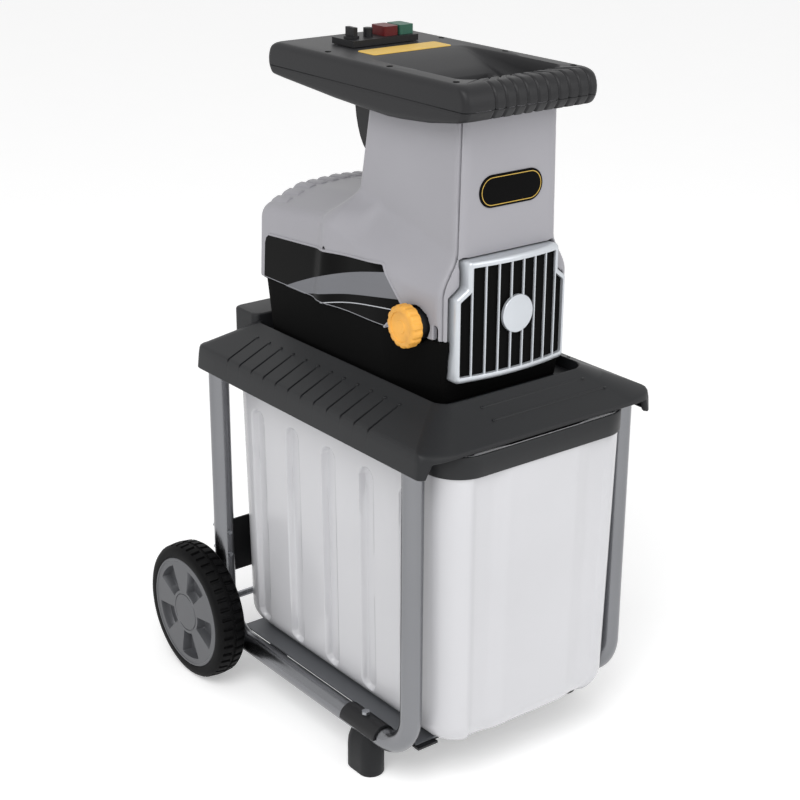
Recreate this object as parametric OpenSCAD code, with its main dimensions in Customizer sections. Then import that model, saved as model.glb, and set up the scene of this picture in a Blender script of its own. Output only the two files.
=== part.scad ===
// Electric garden shredder with a slow cutting drum, on a wheeled tube frame with a slide-out box.
// Millimetres. +X is right when facing the grille, +Y is to the rear, +Z is up.
// The origin is on the ground, under the centre of the whole machine's box.

/* [Frame] */
// Outside diameter of the frame tube
tube_d = 28; // [24:1:30]
// Wall of the frame tube
tube_wall = 1.5; // [1:0.1:3]
// Gap between the collection box's rim and the frame tubes at its sides
frame_gap = 9; // [8:0.5:16]
// Distance from the front leg to the rear leg, centre to centre
leg_span = 432; // [430:1:450]
// Height of the bottom run's centreline
run_z = 65; // [62:1:68]
// Centreline radius of the two bends
bend_r = 57; // [50:1:58]
// Thickness of the bracket and cross plates
plate_t = 3; // [2:0.5:4]
// Height of the rear cross plate
rear_plate_h = 66; // [60:1:70]
// Diameter of the frame bolts
bolt_d = 6; // [5:0.5:8]

/* [Wheels and feet] */
// Outside diameter of the tyres
wheel_d = 200; // [196:1:204]
// Width of the tyres
tyre_w = 44; // [40:1:48]
// Diameter at which the tyre sits on the rim
rim_d = 168; // [160:1:172]
// Diameter of the axle
axle_d = 10; // [8:0.5:11]
// Distance of the axle behind the rear leg
axle_back = 17; // [17:0.5:20]
// Length of a foot along the tube
foot_l = 56; // [48:1:64]
// Width of a foot
foot_w = 36; // [34:1:42]

/* [Deck] */
// Reach of the deck's side skirts beyond the tubes' centres
skirt_reach = 19; // [18:0.5:25]
// Overhang of the deck ahead of the front legs
deck_front = 45; // [40:1:50]
// Overhang of the deck behind the rear legs
deck_rear = 38; // [34:1:44]
// Height of the skirt's lower edge
skirt_z = 464; // [462:1:468]
// Height of the rim where the slopes start
rim_z = 497; // [494:1:500]
// Height of the flat top of the deck
plinth_z = 527; // [524:1:530]
// Depth of the well that the machine's head stands in
well_depth = 15; // [12:1:16]
// Wall of the deck moulding
deck_t = 4; // [3:0.5:5]

/* [Collection box] */
// Outside width of the box at its rim, without the dark band
box_top_w = 300; // [290:1:340]
// Outside width of the box at its base
box_base_w = 288; // [270:1:292]
// Outside length of the box at its rim
box_len = 488; // [470:1:488]
// Height of the box's rim above the ground
box_rim_z = 481; // [478:1:482]
// Height of the dark band around the rim
band_h = 29; // [24:1:34]
// Thickness of the dark band
band_t = 2.5; // [2:0.1:2.5]
// Wall of the box
box_t = 3; // [2:0.5:4]

/* [Head] */
// Width of the motor hump
hump_w = 240; // [236:1:244]
// Height of the hump's crown
hump_top_z = 723; // [720:1:728]
// Width of the feed tower at its top
tower_w = 152; // [150:1:156]
// Width of the head's front, beside the grille
nose_w = 202; // [200:1:208]
// Height of the feed tower's top
tower_z = 872; // [868:1:874]
// Distance of the head's front face behind the front legs
head_front = 34; // [32:1:36]
// Length of the feed tower, front to rear
tower_l = 188; // [184:1:194]
// Length of the whole head, front to rear
head_l = 366; // [362:1:370]
// Wall of the housing shells
shell_t = 4; // [3:0.5:5]

/* [Hopper] */
// Width of the hopper tray
tray_w = 208; // [206:1:216]
// Length of the hopper tray
tray_l = 404; // [400:1:410]
// Distance of the tray's front edge ahead of the front legs
tray_front = 4; // [0:1:8]
// Height of the tray's rim
tray_z = 912; // [910:1:916]
// Height of the parting line between tray and base
parting_z = 881; // [880:1:884]
// Wall of the tray mouldings
tray_t = 4; // [3:0.5:5]
// Travel of the push buttons
button_travel = 3; // [2:0.5:3.5]

/* [Cutting drive] */
// Height of the cutting drum's axis
drum_z = 612; // [611:1:614]
// Diameter of the drum over its teeth
drum_d = 88; // [84:1:90]
// Length of the drum
drum_l = 80; // [76:1:82]
// Number of cutting ridges on the drum
drum_ridges = 8; // [6:1:10]
// Diameter of the drum shaft
drum_shaft_d = 24; // [20:1:26]
// Gap between the drum and the pressure plate with the knob turned fully in
nip_gap = 1.5; // [1:0.1:3]
// Travel of the pressure plate towards the drum
plate_travel = 3; // [2:0.5:3.5]
// Diameter of the adjusting screw
screw_d = 12; // [10:1:14]
// Diameter of the adjusting knob
knob_d = 54; // [48:1:58]
// Teeth on both large gears
gear_teeth = 72; // [72]
// Teeth on both pinions
pinion_teeth = 12; // [12]
// Module of the drum gear pair
drum_module = 1.75; // [1.7:0.05:1.8]
// Module of the motor gear pair
motor_module = 1; // [0.95:0.05:1.05]
// Outside diameter of the motor
motor_d = 124; // [116:2:128]

/* [Hidden] */
$fn = 64;
eps = 0.01;
// Gap of parts that slide or seat without a fit
seat_gap = 0.3;
// Radial clearance of shafts that turn in bores
run_gap = 0.06;

// Positions along the machine
box_front = deck_front + 1;
machine_l = box_front + band_t + leg_span + axle_back + wheel_d / 2;
leg_front_y = box_front + band_t - machine_l / 2;
leg_rear_y = leg_front_y + leg_span;
axle_y = leg_rear_y + axle_back;
axle_z = wheel_d / 2;
tube_r = tube_d / 2;
track_w = box_top_w + 2 * frame_gap + tube_d;
tube_x = track_w / 2;
tube_in_x = tube_x - tube_r;
run_front_y = leg_front_y + bend_r;
run_rear_y = leg_rear_y - bend_r;
leg_low_z = run_z + bend_r;
deck_front_y = leg_front_y - deck_front;
deck_rear_y = leg_rear_y + deck_rear;
head_y = leg_front_y + head_front;
head_rear_y = head_y + head_l;
tower_rear_y = head_y + tower_l;
tray_front_y = leg_front_y - tray_front;
tray_rear_y = tray_front_y + tray_l;

// Heights of the frame plates and the box
run_top_z = run_z + tube_r;
box_front_y = leg_front_y - box_front;
box_rear_y = box_front_y + box_len;
box_corner_r = 45;
box_edge_r = 35;
strap_top_z = run_z + plate_t;
floor_t = 2;
floor_z = strap_top_z + floor_t;
box_base_z = floor_z;
box_taper_y = 6;
tube_top_z = rim_z - 12;

// Places of the bolts
bolt_r = bolt_d / 2;
bolt_gap = 0.2;
head_h = 4;
foot_y = run_front_y + foot_l / 2 + 10;
foot_top_z = run_z - 4;
rear_plate_z = axle_z + 72;
rear_bolt_zs = [rear_plate_z + 16, rear_plate_z + rear_plate_h - 16];
rear_plate_y = leg_rear_y + tube_r;

// Wheel stations along the axle
stop_x = tube_x + tube_r + 0.5;
stop_w = 2;
hub_in_x = stop_x + stop_w + seat_gap;
tyre_out_x = hub_in_x + tyre_w;
hub_out_x = tyre_out_x - 9;
retainer_w = 1.5;
hub_r = 14;
cap_r = 27;
rim_r = rim_d / 2;
bead_t = 6;
web_t = 6;
web_x = hub_in_x + tyre_w * 0.62;

// Deck slopes
deck_w = track_w + 2 * skirt_reach;
plinth_half = hump_w / 2;
rim_inset = 4;
front_lip_z = box_rim_z + 7;
front_lip_t = 4.5;
skirt_front_y = leg_front_y - 31;
corner_x = deck_w / 2 - 32;
plinth_front_y = head_y - 22;
plinth_rear_y = deck_rear_y - 30;
well_z = plinth_z - well_depth;
well_half = plinth_half - 2;
well_front_y = plinth_front_y + 3;
well_rear_y = head_rear_y + 12;
well_r = 20;
groove_n = 12;
groove_pitch = 28.5;
groove_first_y = leg_front_y + 68.5;
groove_in_x = deck_w / 2 - 49;

// Head plan and heights
hump_half = hump_w / 2;
nose_half = nose_w / 2;
nose_l = 96;
lower_z = 600;
lower_taper = 10;
nose_top_z = 646;
flare_z = 668;
flare_top_z = 692;
tower_lean = 12;
flare_half = tower_w / 2 + 8;
cover_y = head_y + 8;
hump_front_y = tower_rear_y + tower_lean + 4;
hump_corner_r = 20;
hump_corner_x = hump_half - hump_corner_r;
arch_r = 359;
arch_low_z = hump_top_z - arch_r;
hump_corner_z = arch_low_z + sqrt(pow(arch_r - hump_corner_r, 2) - pow(hump_corner_x, 2));
ridge_half = 122;
ridge_z = plinth_z + 10;

// Grille outline, from the centre plane
grille_top_z = 696;
grille_neck_z = 663;
grille_shoulder_z = 651;
grille_base_z = 543.5;
grille_neck = 72;
grille_half = 88;
grille_rim = 8;
grille_side = 5.2;
grille_bars = 8;
bar_w = 2.2;
bar_pitch = 2 * (grille_neck - grille_side) / (grille_bars - 1);
grille_y = head_y - 19.5;
grille_back_y = head_y + 11;
bow = 10.5;
bow_r = (grille_half * grille_half + bow * bow) / (2 * bow);
disc_r = 24;
disc_z = drum_z + 9;
disc_back_y = grille_y + 3;

// Cutting chamber
chamber_wall = 8;
drum_y = head_y + 26;
chamber_y = drum_y - 2 - chamber_wall;
chamber_rear_y = drum_y + drum_l + 2 + chamber_wall;
drum_r = drum_d / 2;
plate_x = -drum_r - nip_gap - plate_travel;
plate_w = 22;
plate_half_h = 50;
bore_end_x = plate_x - 2 * plate_travel;
chamber_left = plate_x - plate_w - 2 - chamber_wall;
chamber_right = drum_r + 6 + chamber_wall;
chamber_top_z = drum_z + 64;
knob_y = drum_y + 20;
screw_r = screw_d / 2;
bearing_r = 20;
shaft_r = drum_shaft_d / 2;
knob_r = knob_d / 2;
knob_lobes = 15;
knob_w = 15;
side_x_at_knob = nose_half + (hump_half - nose_half) * (knob_y + knob_r - head_y) / nose_l;
collar_out_x = -side_x_at_knob - 1;
knob_in_x = collar_out_x - seat_gap;
knob_bore = knob_w - 5;
collar_r = 20;
collar_w = 18;

// Gear train, angles measured in the XZ plane from +X towards +Z
pressure_angle = 25;
backlash = 0.16;
inter_angle = 30;
motor_angle = 220;
inter_dist = drum_module * (gear_teeth + pinion_teeth) / 2;
motor_dist = motor_module * (gear_teeth + pinion_teeth) / 2;
inter_x = inter_dist * cos(inter_angle);
inter_z = drum_z + inter_dist * sin(inter_angle);
motor_x = inter_x + motor_dist * cos(motor_angle);
motor_z = inter_z + motor_dist * sin(motor_angle);
gearbox_wall = 4;
drum_gear_w = 16;
inter_gear_w = 10;
drum_gear_y = chamber_rear_y + gearbox_wall + 2;
inter_gear_y = drum_gear_y + drum_gear_w + 6;
flange_y = inter_gear_y + inter_gear_w + 6;
flange_t = 6;
inter_shaft_r = 6;
motor_shaft_r = 8;
motor_y = flange_y + flange_t;
motor_l = 138;
rotor_gap = 1;
stator_t = 18;
fan_y = motor_y + motor_l + 8;
fan_w = 22;

// Hopper mouth and chute
mouth_half = 60;
mouth_y = head_y + 12;
mouth_l = 92;
recess_half = 78;
recess_rear_y = tray_front_y + 222;
recess_floor_z = tower_z + 3 + tray_t;
chute_t = 3;
tray_mid_front_y = tray_front_y + 104;
tray_mid_rear_y = tray_front_y + 290;
base_low_z = 855;
base_end_z = 868;
tray_screw_x = tray_w / 2 - 17.5;
tray_boss_r = 5.5;
tray_screw_ys = [tray_front_y + 40, tray_front_y + 170, tray_front_y + 300];

// Switch box and mains inlet behind the tower
box_back_y = tower_rear_y + 58;
inlet_r = 20;
inlet_z = base_low_z - inlet_r - 3;

// Switch panel on the rear of the tray
panel_w = 104;
panel_l = 46;
panel_h = 8;
panel_y = recess_rear_y + 62;
panel_z = tray_z + panel_h;
button_w = 22;
button_l = 30;
button_proud = 12;
button_pocket = 6;
selector_h = 14;
stop_button_x = 15;
start_button_x = stop_button_x + button_w + 3;
selector_x = -38;
selector_r = 10;
reset_x = -12;
reset_r = 6;

// Colours
steel_grey = [0.50, 0.51, 0.52];
sheet_grey = [0.66, 0.67, 0.68];
black = [0.16, 0.16, 0.17];
housing_grey = [0.65, 0.65, 0.67];
silver = [0.79, 0.80, 0.82];
clear_white = [0.85, 0.85, 0.86, 0.6];
knob_yellow = [0.93, 0.71, 0.35];
metal = [0.72, 0.73, 0.74];
copper = [0.72, 0.45, 0.25];

// Helpers

// A rounded rectangle in the plane
module round_rect(w, l, r) {
    square([w - 2 * r, l], center = true);
    square([w, l - 2 * r], center = true);
    for (sx = [-1, 1], sy = [-1, 1])
        translate([sx * (w / 2 - r), sy * (l / 2 - r)])
            circle(r, $fn = 32);
}

// A flat rounded slab between two Y positions
module slab(w, y0, y1, z, h, r) {
    translate([0, (y0 + y1) / 2, z])
        linear_extrude(h)
            round_rect(w, y1 - y0, r);
}

// Extrudes a shape drawn in X and Z from y0 to y1
module along_y(y0, y1) {
    translate([0, y1, 0])
        rotate([90, 0, 0])
            linear_extrude(y1 - y0)
                children();
}

// Extrudes a shape drawn in Y and Z from x0 to x1
module along_x(x0, x1) {
    translate([x0, 0, 0])
        rotate([90, 0, 90])
            linear_extrude(x1 - x0)
                children();
}

// A round bar along Y, centred at x and z
module bar_y(x, z, y0, y1, r) {
    along_y(y0, y1)
        translate([x, z])
            circle(r);
}

// A round bar along X, centred at y and z
module bar_x(y, z, x0, x1, r) {
    along_x(x0, x1)
        translate([y, z])
            circle(r);
}

// A box given by its low and high corners
module block(low, high) {
    translate(low)
        cube(high - low);
}

// Places a part and its mirror image on both sides
module both_sides() {
    children();
    mirror([1, 0, 0])
        children();
}

// Gear teeth

// Involute angle in degrees at a given pressure angle
function involute(a) = tan(a) * 180 / PI - a;
// Half the angle that a tooth takes up at radius r
function tooth_half(r, rb, rp, n) =
    90 / n + involute(pressure_angle) - involute(acos(min(1, rb / r))) - backlash / 2 / rp * 180 / PI;
// Outline of one tooth, from its root to its tip and back
function tooth_points(m, n, turn) =
    let (rp = m * n / 2, rb = rp * cos(pressure_angle), ra = rp + m, rf = rp - 1.25 * m)
    let (r0 = max(rb, rf), steps = 4)
    let (rs = [for (i = [0 : steps]) r0 + (ra - r0) * i / steps])
    let (root = tooth_half(r0, rb, rp, n))
    concat(
        [rf * [cos(turn - root), sin(turn - root)]],
        [for (r = rs) r * [cos(turn - tooth_half(r, rb, rp, n)), sin(turn - tooth_half(r, rb, rp, n))]],
        [for (i = [steps : -1 : 0])
            rs[i] * [cos(turn + tooth_half(rs[i], rb, rp, n)), sin(turn + tooth_half(rs[i], rb, rp, n))]],
        [rf * [cos(turn + root), sin(turn + root)]]);
// Outline of a whole gear with a tooth at the angle given
module gear_shape(m, n, turn) {
    polygon([for (i = [0 : n - 1]) each tooth_points(m, n, turn + i * 360 / n)]);
}

// Frame

// The bent path of one frame at a given radius, on the right side
module frame_path(r) {
    translate([tube_x, leg_front_y, leg_low_z])
        cylinder(h = tube_top_z - leg_low_z, r = r);
    translate([tube_x, leg_rear_y, leg_low_z])
        cylinder(h = tube_top_z - leg_low_z, r = r);
    bar_y(tube_x, run_z, run_front_y, run_rear_y, r);
    for (end = [0, 1])
        translate([tube_x, end == 0 ? run_front_y : run_rear_y, leg_low_z])
            rotate([90, 0, 90])
                rotate([0, 0, end == 0 ? 180 : 270])
                    rotate_extrude(angle = 90)
                        translate([bend_r, 0])
                            circle(r);
}

// One bent tube with its bolt holes, on the right side
module frame_tube() {
    color(steel_grey)
        difference() {
            frame_path(tube_r);
            frame_path(tube_r - tube_wall);
            translate([tube_x, leg_front_y, tube_top_z - 1])
                cylinder(h = 2, r = tube_r - tube_wall);
            translate([tube_x, leg_rear_y, tube_top_z - 1])
                cylinder(h = 2, r = tube_r - tube_wall);
            for (z = rear_bolt_zs)
                bar_y(tube_x, z, leg_rear_y - tube_d, leg_rear_y + tube_d, bolt_r + bolt_gap);
            translate([tube_x, foot_y, run_z - tube_d])
                cylinder(h = 2 * tube_d, r = bolt_r + bolt_gap);
        }
}

module left_frame_tube() {
    mirror([1, 0, 0])
        frame_tube();
}

module right_frame_tube() {
    frame_tube();
}

// Upright plate across the backs of the rear legs
module rear_cross_plate() {
    color(black)
        difference() {
            block([-tube_x - tube_r, rear_plate_y, rear_plate_z],
                [tube_x + tube_r, rear_plate_y + plate_t, rear_plate_z + rear_plate_h]);
            for (side = [-1, 1], z = rear_bolt_zs)
                bar_y(side * tube_x, z, rear_plate_y - 1, rear_plate_y + plate_t + 1, bolt_r + bolt_gap);
        }
}

// A sheet strap across the frame, with a half-round saddle over each bottom run
module floor_strap(y0, y1) {
    along_y(y0, y1)
        difference() {
            union() {
                translate([-tube_in_x - 1, run_z])
                    square([2 * tube_in_x + 2, plate_t]);
                for (side = [-1, 1])
                    translate([side * tube_x, run_z])
                        circle(tube_r + plate_t);
            }
            for (side = [-1, 1])
                translate([side * tube_x, run_z])
                    circle(tube_r);
            translate([-track_w, run_z - 2 * tube_d])
                square([2 * track_w, 2 * tube_d]);
        }
}

module front_cross_plate() {
    flange_h = 18;
    flange_front_y = leg_front_y + 4;
    half = tube_in_x - 2;
    color(black)
        difference() {
            union() {
                floor_strap(run_front_y, foot_y + foot_l / 2 + 8);
                block([-half, flange_front_y, run_z], [half, run_front_y + 1, strap_top_z]);
                block([-half, flange_front_y, strap_top_z - flange_h],
                    [half, flange_front_y + plate_t, strap_top_z]);
            }
            both_sides()
                translate([tube_x, foot_y, run_z])
                    cylinder(h = tube_d, r = bolt_r + bolt_gap);
        }
}

module rear_floor_strap() {
    strap_l = 40;
    strap_end_y = run_rear_y - 28;
    color(black)
        floor_strap(strap_end_y - strap_l, strap_end_y);
}

// Flat sheet that the collection box stands on
module floor_plate() {
    half = tube_in_x - plate_t - 1;
    color(sheet_grey)
        block([-half, leg_front_y + 12, strap_top_z], [half, leg_rear_y - tube_r - 4, floor_z]);
}

// Upright ear that carries the axle, on the right side
module axle_bracket() {
    ear_r = axle_d / 2 + 8;
    x1 = tube_in_x - 5;
    plate_back_y = rear_plate_y + plate_t;
    color(black)
        difference() {
            union() {
                along_x(x1 - plate_t, x1)
                    polygon([[plate_back_y, rear_plate_z + rear_plate_h],
                        [plate_back_y + ear_r, rear_plate_z + rear_plate_h],
                        [axle_y + ear_r - 1, axle_z + 3], [axle_y - ear_r + 2, axle_z + 3],
                        [plate_back_y, rear_plate_z - 8]]);
                bar_x(axle_y, axle_z, x1 - plate_t, x1, ear_r);
            }
            bar_x(axle_y, axle_z, x1 - plate_t - 1, x1 + 1, axle_d / 2);
        }
}

module left_axle_bracket() {
    mirror([1, 0, 0])
        axle_bracket();
}

module right_axle_bracket() {
    axle_bracket();
}

// Oval foot under the bottom run, on the right side
module foot() {
    taper_h = 6;
    color(black)
        difference() {
            union() {
                translate([tube_x, foot_y, taper_h])
                    linear_extrude(foot_top_z - taper_h)
                        round_rect(foot_w, foot_l, foot_w / 2 - eps);
                translate([tube_x, foot_y, 0])
                    linear_extrude(taper_h)
                        round_rect(foot_w - 4, foot_l - 4, foot_w / 2 - 2 - eps);
            }
            bar_y(tube_x, run_z, foot_y - foot_l, foot_y + foot_l, tube_r);
            translate([tube_x, foot_y, -1])
                cylinder(h = 15, r = bolt_r + 5);
            translate([tube_x, foot_y, 0])
                cylinder(h = run_z, r = bolt_r + bolt_gap);
        }
}

module left_foot() {
    mirror([1, 0, 0])
        foot();
}

module right_foot() {
    foot();
}

// A hexagon head of the frame bolts
module hex_head(h) {
    cylinder(h = h, r = bolt_d * 0.95, $fn = 6);
}

// Bolts that hold the rear cross plate to the rear legs
module frame_bolts() {
    color(metal)
        for (side = [-1, 1], z = rear_bolt_zs)
            translate([side * tube_x, rear_plate_y + plate_t, z])
                rotate([90, 0, 0]) {
                    cylinder(h = tube_d + plate_t + 3, r = bolt_r);
                    mirror([0, 0, 1])
                        hex_head(head_h);
                }
}

// Bolts that hold the feet and the front cross plate to the bottom runs
module foot_bolts() {
    top_z = run_top_z + plate_t;
    color(metal)
        both_sides()
            translate([tube_x, foot_y, 0]) {
                translate([0, 0, 14])
                    cylinder(h = top_z - 14, r = bolt_r);
                translate([0, 0, top_z])
                    hex_head(head_h);
                translate([0, 0, 14 - head_h])
                    hex_head(head_h);
            }
}

// Axle with a stop collar inside each wheel
module axle() {
    end_x = hub_out_x + retainer_w + 1;
    color(metal)
        union() {
            bar_x(axle_y, axle_z, -end_x, end_x, axle_d / 2);
            both_sides()
                bar_x(axle_y, axle_z, stop_x, stop_x + stop_w, axle_d / 2 + 4);
        }
}

// Spring washers pressed on the axle ends
module axle_retainers() {
    x0 = hub_out_x + seat_gap;
    color(metal)
        both_sides()
            along_x(x0, x0 + retainer_w)
                translate([axle_y, axle_z])
                    difference() {
                        circle(axle_d / 2 + 4);
                        circle(axle_d / 2);
                    }
}

// Wheels

// Turns a profile drawn in radius and width about the axle
module wheel_turn() {
    translate([0, axle_y, axle_z])
        rotate([0, 90, 0])
            rotate_extrude($fn = 96)
                children();
}

// Moulded rim with six openings, on the right side
module wheel_rim() {
    hole_in = cap_r + 7;
    hole_out = rim_r - bead_t - 7;
    hole_w = 30;
    color(sheet_grey)
        difference() {
            wheel_turn() {
                translate([axle_d / 2 + run_gap, hub_in_x])
                    square([hub_r - axle_d / 2, hub_out_x - hub_in_x]);
                translate([hub_r - 1, web_x])
                    square([rim_r - hub_r - 1, web_t]);
                translate([rim_r - bead_t, hub_in_x + 2])
                    square([bead_t, tyre_w - 4]);
                translate([cap_r, web_x])
                    square([3, tyre_out_x - 1 - web_x]);
            }
            for (i = [0 : 5])
                translate([0, axle_y, axle_z])
                    rotate([i * 60, 0, 0])
                        along_x(web_x - 1, web_x + web_t + 1)
                            intersection() {
                                difference() {
                                    circle(hole_out);
                                    circle(hole_in);
                                }
                                translate([0, -hole_w / 2])
                                    square([hole_out, hole_w]);
                            }
        }
}

// Solid tyre with rounded shoulders, on the right side
module tyre() {
    shoulder = 7;
    color(black)
        difference() {
            wheel_turn() {
                translate([rim_r, hub_in_x])
                    square([wheel_d / 2 - shoulder - rim_r, tyre_w]);
                translate([rim_r, hub_in_x + shoulder])
                    square([wheel_d / 2 - rim_r, tyre_w - 2 * shoulder]);
                for (x = [hub_in_x + shoulder, tyre_out_x - shoulder])
                    translate([wheel_d / 2 - shoulder, x])
                        circle(shoulder, $fn = 32);
            }
            wheel_turn()
                translate([wheel_d / 2 - 3, hub_in_x + tyre_w / 2 - 1.5])
                    square([4, 3]);
        }
}

// Smooth cap over the hub, on the right side
module hub_cap() {
    x0 = hub_out_x + retainer_w + 2;
    cap_lip = 3;
    color(sheet_grey)
        wheel_turn() {
            translate([0, x0])
                square([cap_r - seat_gap, tyre_out_x - x0]);
            translate([cap_r - seat_gap - cap_lip, web_x + web_t])
                square([cap_lip, x0 - web_x - web_t]);
        }
}

module left_wheel_rim() {
    mirror([1, 0, 0])
        wheel_rim();
}

module left_tyre() {
    mirror([1, 0, 0])
        tyre();
}

module left_hub_cap() {
    mirror([1, 0, 0])
        hub_cap();
}

module right_wheel_rim() {
    wheel_rim();
}

module right_tyre() {
    tyre();
}

module right_hub_cap() {
    hub_cap();
}

// Deck

// Roof-like body of the deck, thinned by t all over and reaching down to a given height
module deck_body(t, low_z) {
    half = deck_w / 2;
    front_y = deck_front_y - (t > 0 ? 1 : 0);
    intersection() {
        translate([0, 0, low_z])
            linear_extrude(plinth_z)
                polygon([[-half, deck_rear_y], [-half, skirt_front_y - t], [-corner_x, deck_front_y - t],
                    [corner_x, deck_front_y - t], [half, skirt_front_y - t], [half, deck_rear_y]]);
        along_y(deck_front_y - 1, deck_rear_y - t)
            polygon([[-half + t, low_z], [-half + t, skirt_z], [-half + rim_inset + t, rim_z - t / 2],
                [-plinth_half, plinth_z - t], [plinth_half, plinth_z - t],
                [half - rim_inset - t, rim_z - t / 2], [half - t, skirt_z], [half - t, low_z]]);
        along_x(-deck_w, deck_w)
            polygon([[front_y, low_z], [front_y, front_lip_z - t], [plinth_front_y, plinth_z - t],
                [plinth_rear_y, plinth_z - t], [deck_rear_y - t, rim_z - t], [deck_rear_y - t, low_z]]);
    }
}

// Plan of the head, grown outwards by g
module head_plan(g) {
    polygon([[-nose_half - g, head_y - g], [nose_half + g, head_y - g],
        [hump_half + g, head_y + nose_l], [hump_half + g, head_rear_y + g],
        [-hump_half - g, head_rear_y + g], [-hump_half - g, head_y + nose_l]]);
}

// Sockets under the deck that take the four leg ends
module sockets() {
    socket_r = tube_r + 4;
    for (side = [-1, 1], y = [leg_front_y, leg_rear_y])
        translate([side * tube_x, y, skirt_z])
            cylinder(h = plinth_z - skirt_z, r = socket_r);
}

// The well that the head stands in, grown by t
module well(t) {
    slab(2 * (well_half + t), well_front_y - t, well_rear_y + t, well_z - t, plinth_z - well_z + t + 1,
        well_r + t);
}

// Grooves in the two side slopes
module side_grooves() {
    groove_w = 3;
    groove_d = 1.5;
    over = 4;
    rim_x = deck_w / 2 - rim_inset;
    slope = atan((plinth_z - rim_z) / (rim_x - plinth_half));
    groove_l = (rim_x - groove_in_x) / cos(slope);
    both_sides()
        for (i = [0 : groove_n - 1])
            translate([rim_x, groove_first_y + i * groove_pitch, rim_z])
                rotate([0, 180 + slope, 0])
                    translate([-over, -groove_w / 2, -over])
                        cube([groove_l + over, groove_w, groove_d + over]);
}

// Raised ridge behind the head, thinned by t
module rear_ridge(t) {
    low = t > 0 ? skirt_z - 1 : well_z;
    front_y = well_rear_y + deck_t + t;
    block([-ridge_half + t, front_y, low], [ridge_half - t, deck_rear_y - t, ridge_z - t]);
}

module deck() {
    skirt_end_w = 10;
    color(black)
        difference() {
            union() {
                difference() {
                    deck_body(0, skirt_z);
                    deck_body(deck_t, skirt_z - 1);
                    block([-deck_w / 2 + skirt_end_w, deck_front_y - 1, skirt_z - 1],
                        [deck_w / 2 - skirt_end_w, leg_front_y, front_lip_z - front_lip_t]);
                }
                intersection() {
                    union() {
                        sockets();
                        well(deck_t);
                    }
                    deck_body(0, skirt_z);
                }
                rear_ridge(0);
            }
            rear_ridge(deck_t);
            well(0);
            block([chamber_left + chamber_wall, chamber_y + chamber_wall, well_z - 2 * deck_t],
                [chamber_right - chamber_wall, chamber_rear_y - chamber_wall, plinth_z]);
            for (side = [-1, 1], y = [leg_front_y, leg_rear_y])
                translate([side * tube_x, y, skirt_z - 1])
                    cylinder(h = tube_top_z - skirt_z + 1, r = tube_r + run_gap);
            side_grooves();
        }
}

// Square duct under the cutting chamber
module discharge_chute() {
    low = [chamber_left + chamber_wall, chamber_y + chamber_wall];
    high = [chamber_right - chamber_wall, chamber_rear_y - chamber_wall];
    z0 = box_rim_z + 3;
    z1 = well_z - deck_t;
    color(black)
        difference() {
            block([low.x - chute_t, low.y - chute_t, z0], [high.x + chute_t, high.y + chute_t, z1]);
            block([low.x, low.y, z0 - 1], [high.x, high.y, z1 + 1]);
        }
}

// Switch that stops the motor when the box is pulled out
module interlock_switch() {
    x0 = chamber_right + 20;
    y0 = plinth_front_y + 60;
    color(black)
        block([x0, y0, box_rim_z + 3], [x0 + 20, y0 + 30, well_z - deck_t]);
}

// Collection box

// Tapered tub thinned by t all over, open at the top when t is above zero
module tub(t) {
    edge_r = box_edge_r - t;
    top_z = box_rim_z - 1 + (t > 0 ? 2 : 0);
    hull() {
        slab(box_top_w - 2 * t, box_front_y + t, box_rear_y - t, top_z, 1, box_corner_r - t);
        for (a = [0, 45, 90])
            let (inset = t + edge_r * (1 - cos(a)))
                slab(box_base_w - 2 * inset, box_front_y + box_taper_y + inset,
                    box_rear_y - box_taper_y - inset, box_base_z + t + edge_r * (1 - sin(a)), 1,
                    box_corner_r - inset / 2);
    }
}

module collection_box() {
    color(clear_white)
        difference() {
            tub(0);
            tub(box_t);
        }
}

// Dark band clipped around the rim of the box
module box_rim() {
    color(black)
        difference() {
            slab(box_top_w + 2 * band_t, box_front_y - band_t, box_rear_y + band_t,
                box_rim_z - band_h, band_h, box_corner_r + band_t);
            tub(0);
        }
}

// Head

// Cross-section of the motor hump, thinned by t: upright sides, rounded corners and a shallow arch
module hump_shape(t) {
    low_z = lower_z - t;
    low_x = hump_corner_x * (low_z - arch_low_z) / (hump_corner_z - arch_low_z);
    high_x = hump_corner_x * arch_r / (hump_corner_z - arch_low_z);
    translate([-hump_half + t, low_z])
        square([2 * (hump_half - t), hump_corner_z - low_z]);
    for (side = [-1, 1])
        translate([side * hump_corner_x, hump_corner_z])
            circle(hump_corner_r - t);
    intersection() {
        translate([0, arch_low_z])
            circle(arch_r - t, $fn = 180);
        polygon([[-low_x, low_z], [low_x, low_z], [high_x, hump_top_z], [-high_x, hump_top_z]]);
    }
}

// Whole grey housing, thinned by t, with the top and bottom left open when t is above zero
module head_body(t) {
    open = t > 0 ? 1 : 0;
    translate([0, 0, lower_z - open])
        linear_extrude(nose_top_z - lower_z + open)
            head_plan(-t);
    along_y(hump_front_y, head_rear_y - t)
        hump_shape(t);
    hull() {
        translate([0, 0, nose_top_z - 1])
            linear_extrude(1)
                blend_plan(t, 0);
        translate([0, 0, flare_z - 1])
            linear_extrude(1)
                blend_plan(t, nose_l);
        along_y(hump_front_y, hump_front_y + 1)
            hump_shape(t);
        slab(2 * (flare_half - t), head_y + t, tower_rear_y + tower_lean - t, flare_top_z, 1, 14);
    }
    hull() {
        slab(2 * (flare_half - t), head_y + t, tower_rear_y + tower_lean - t, flare_top_z, 1, 14);
        slab(tower_w - 2 * t, head_y + t, tower_rear_y - t, tower_z - 1 + 2 * open, 1, 12);
    }
}

// The part of the head's plan beside the tower, thinned by t and starting back from the front
module blend_plan(t, back) {
    intersection() {
        head_plan(-t);
        translate([-hump_w, head_y + back])
            square([2 * hump_w, hump_front_y - head_y - back + 1]);
    }
}

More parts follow.
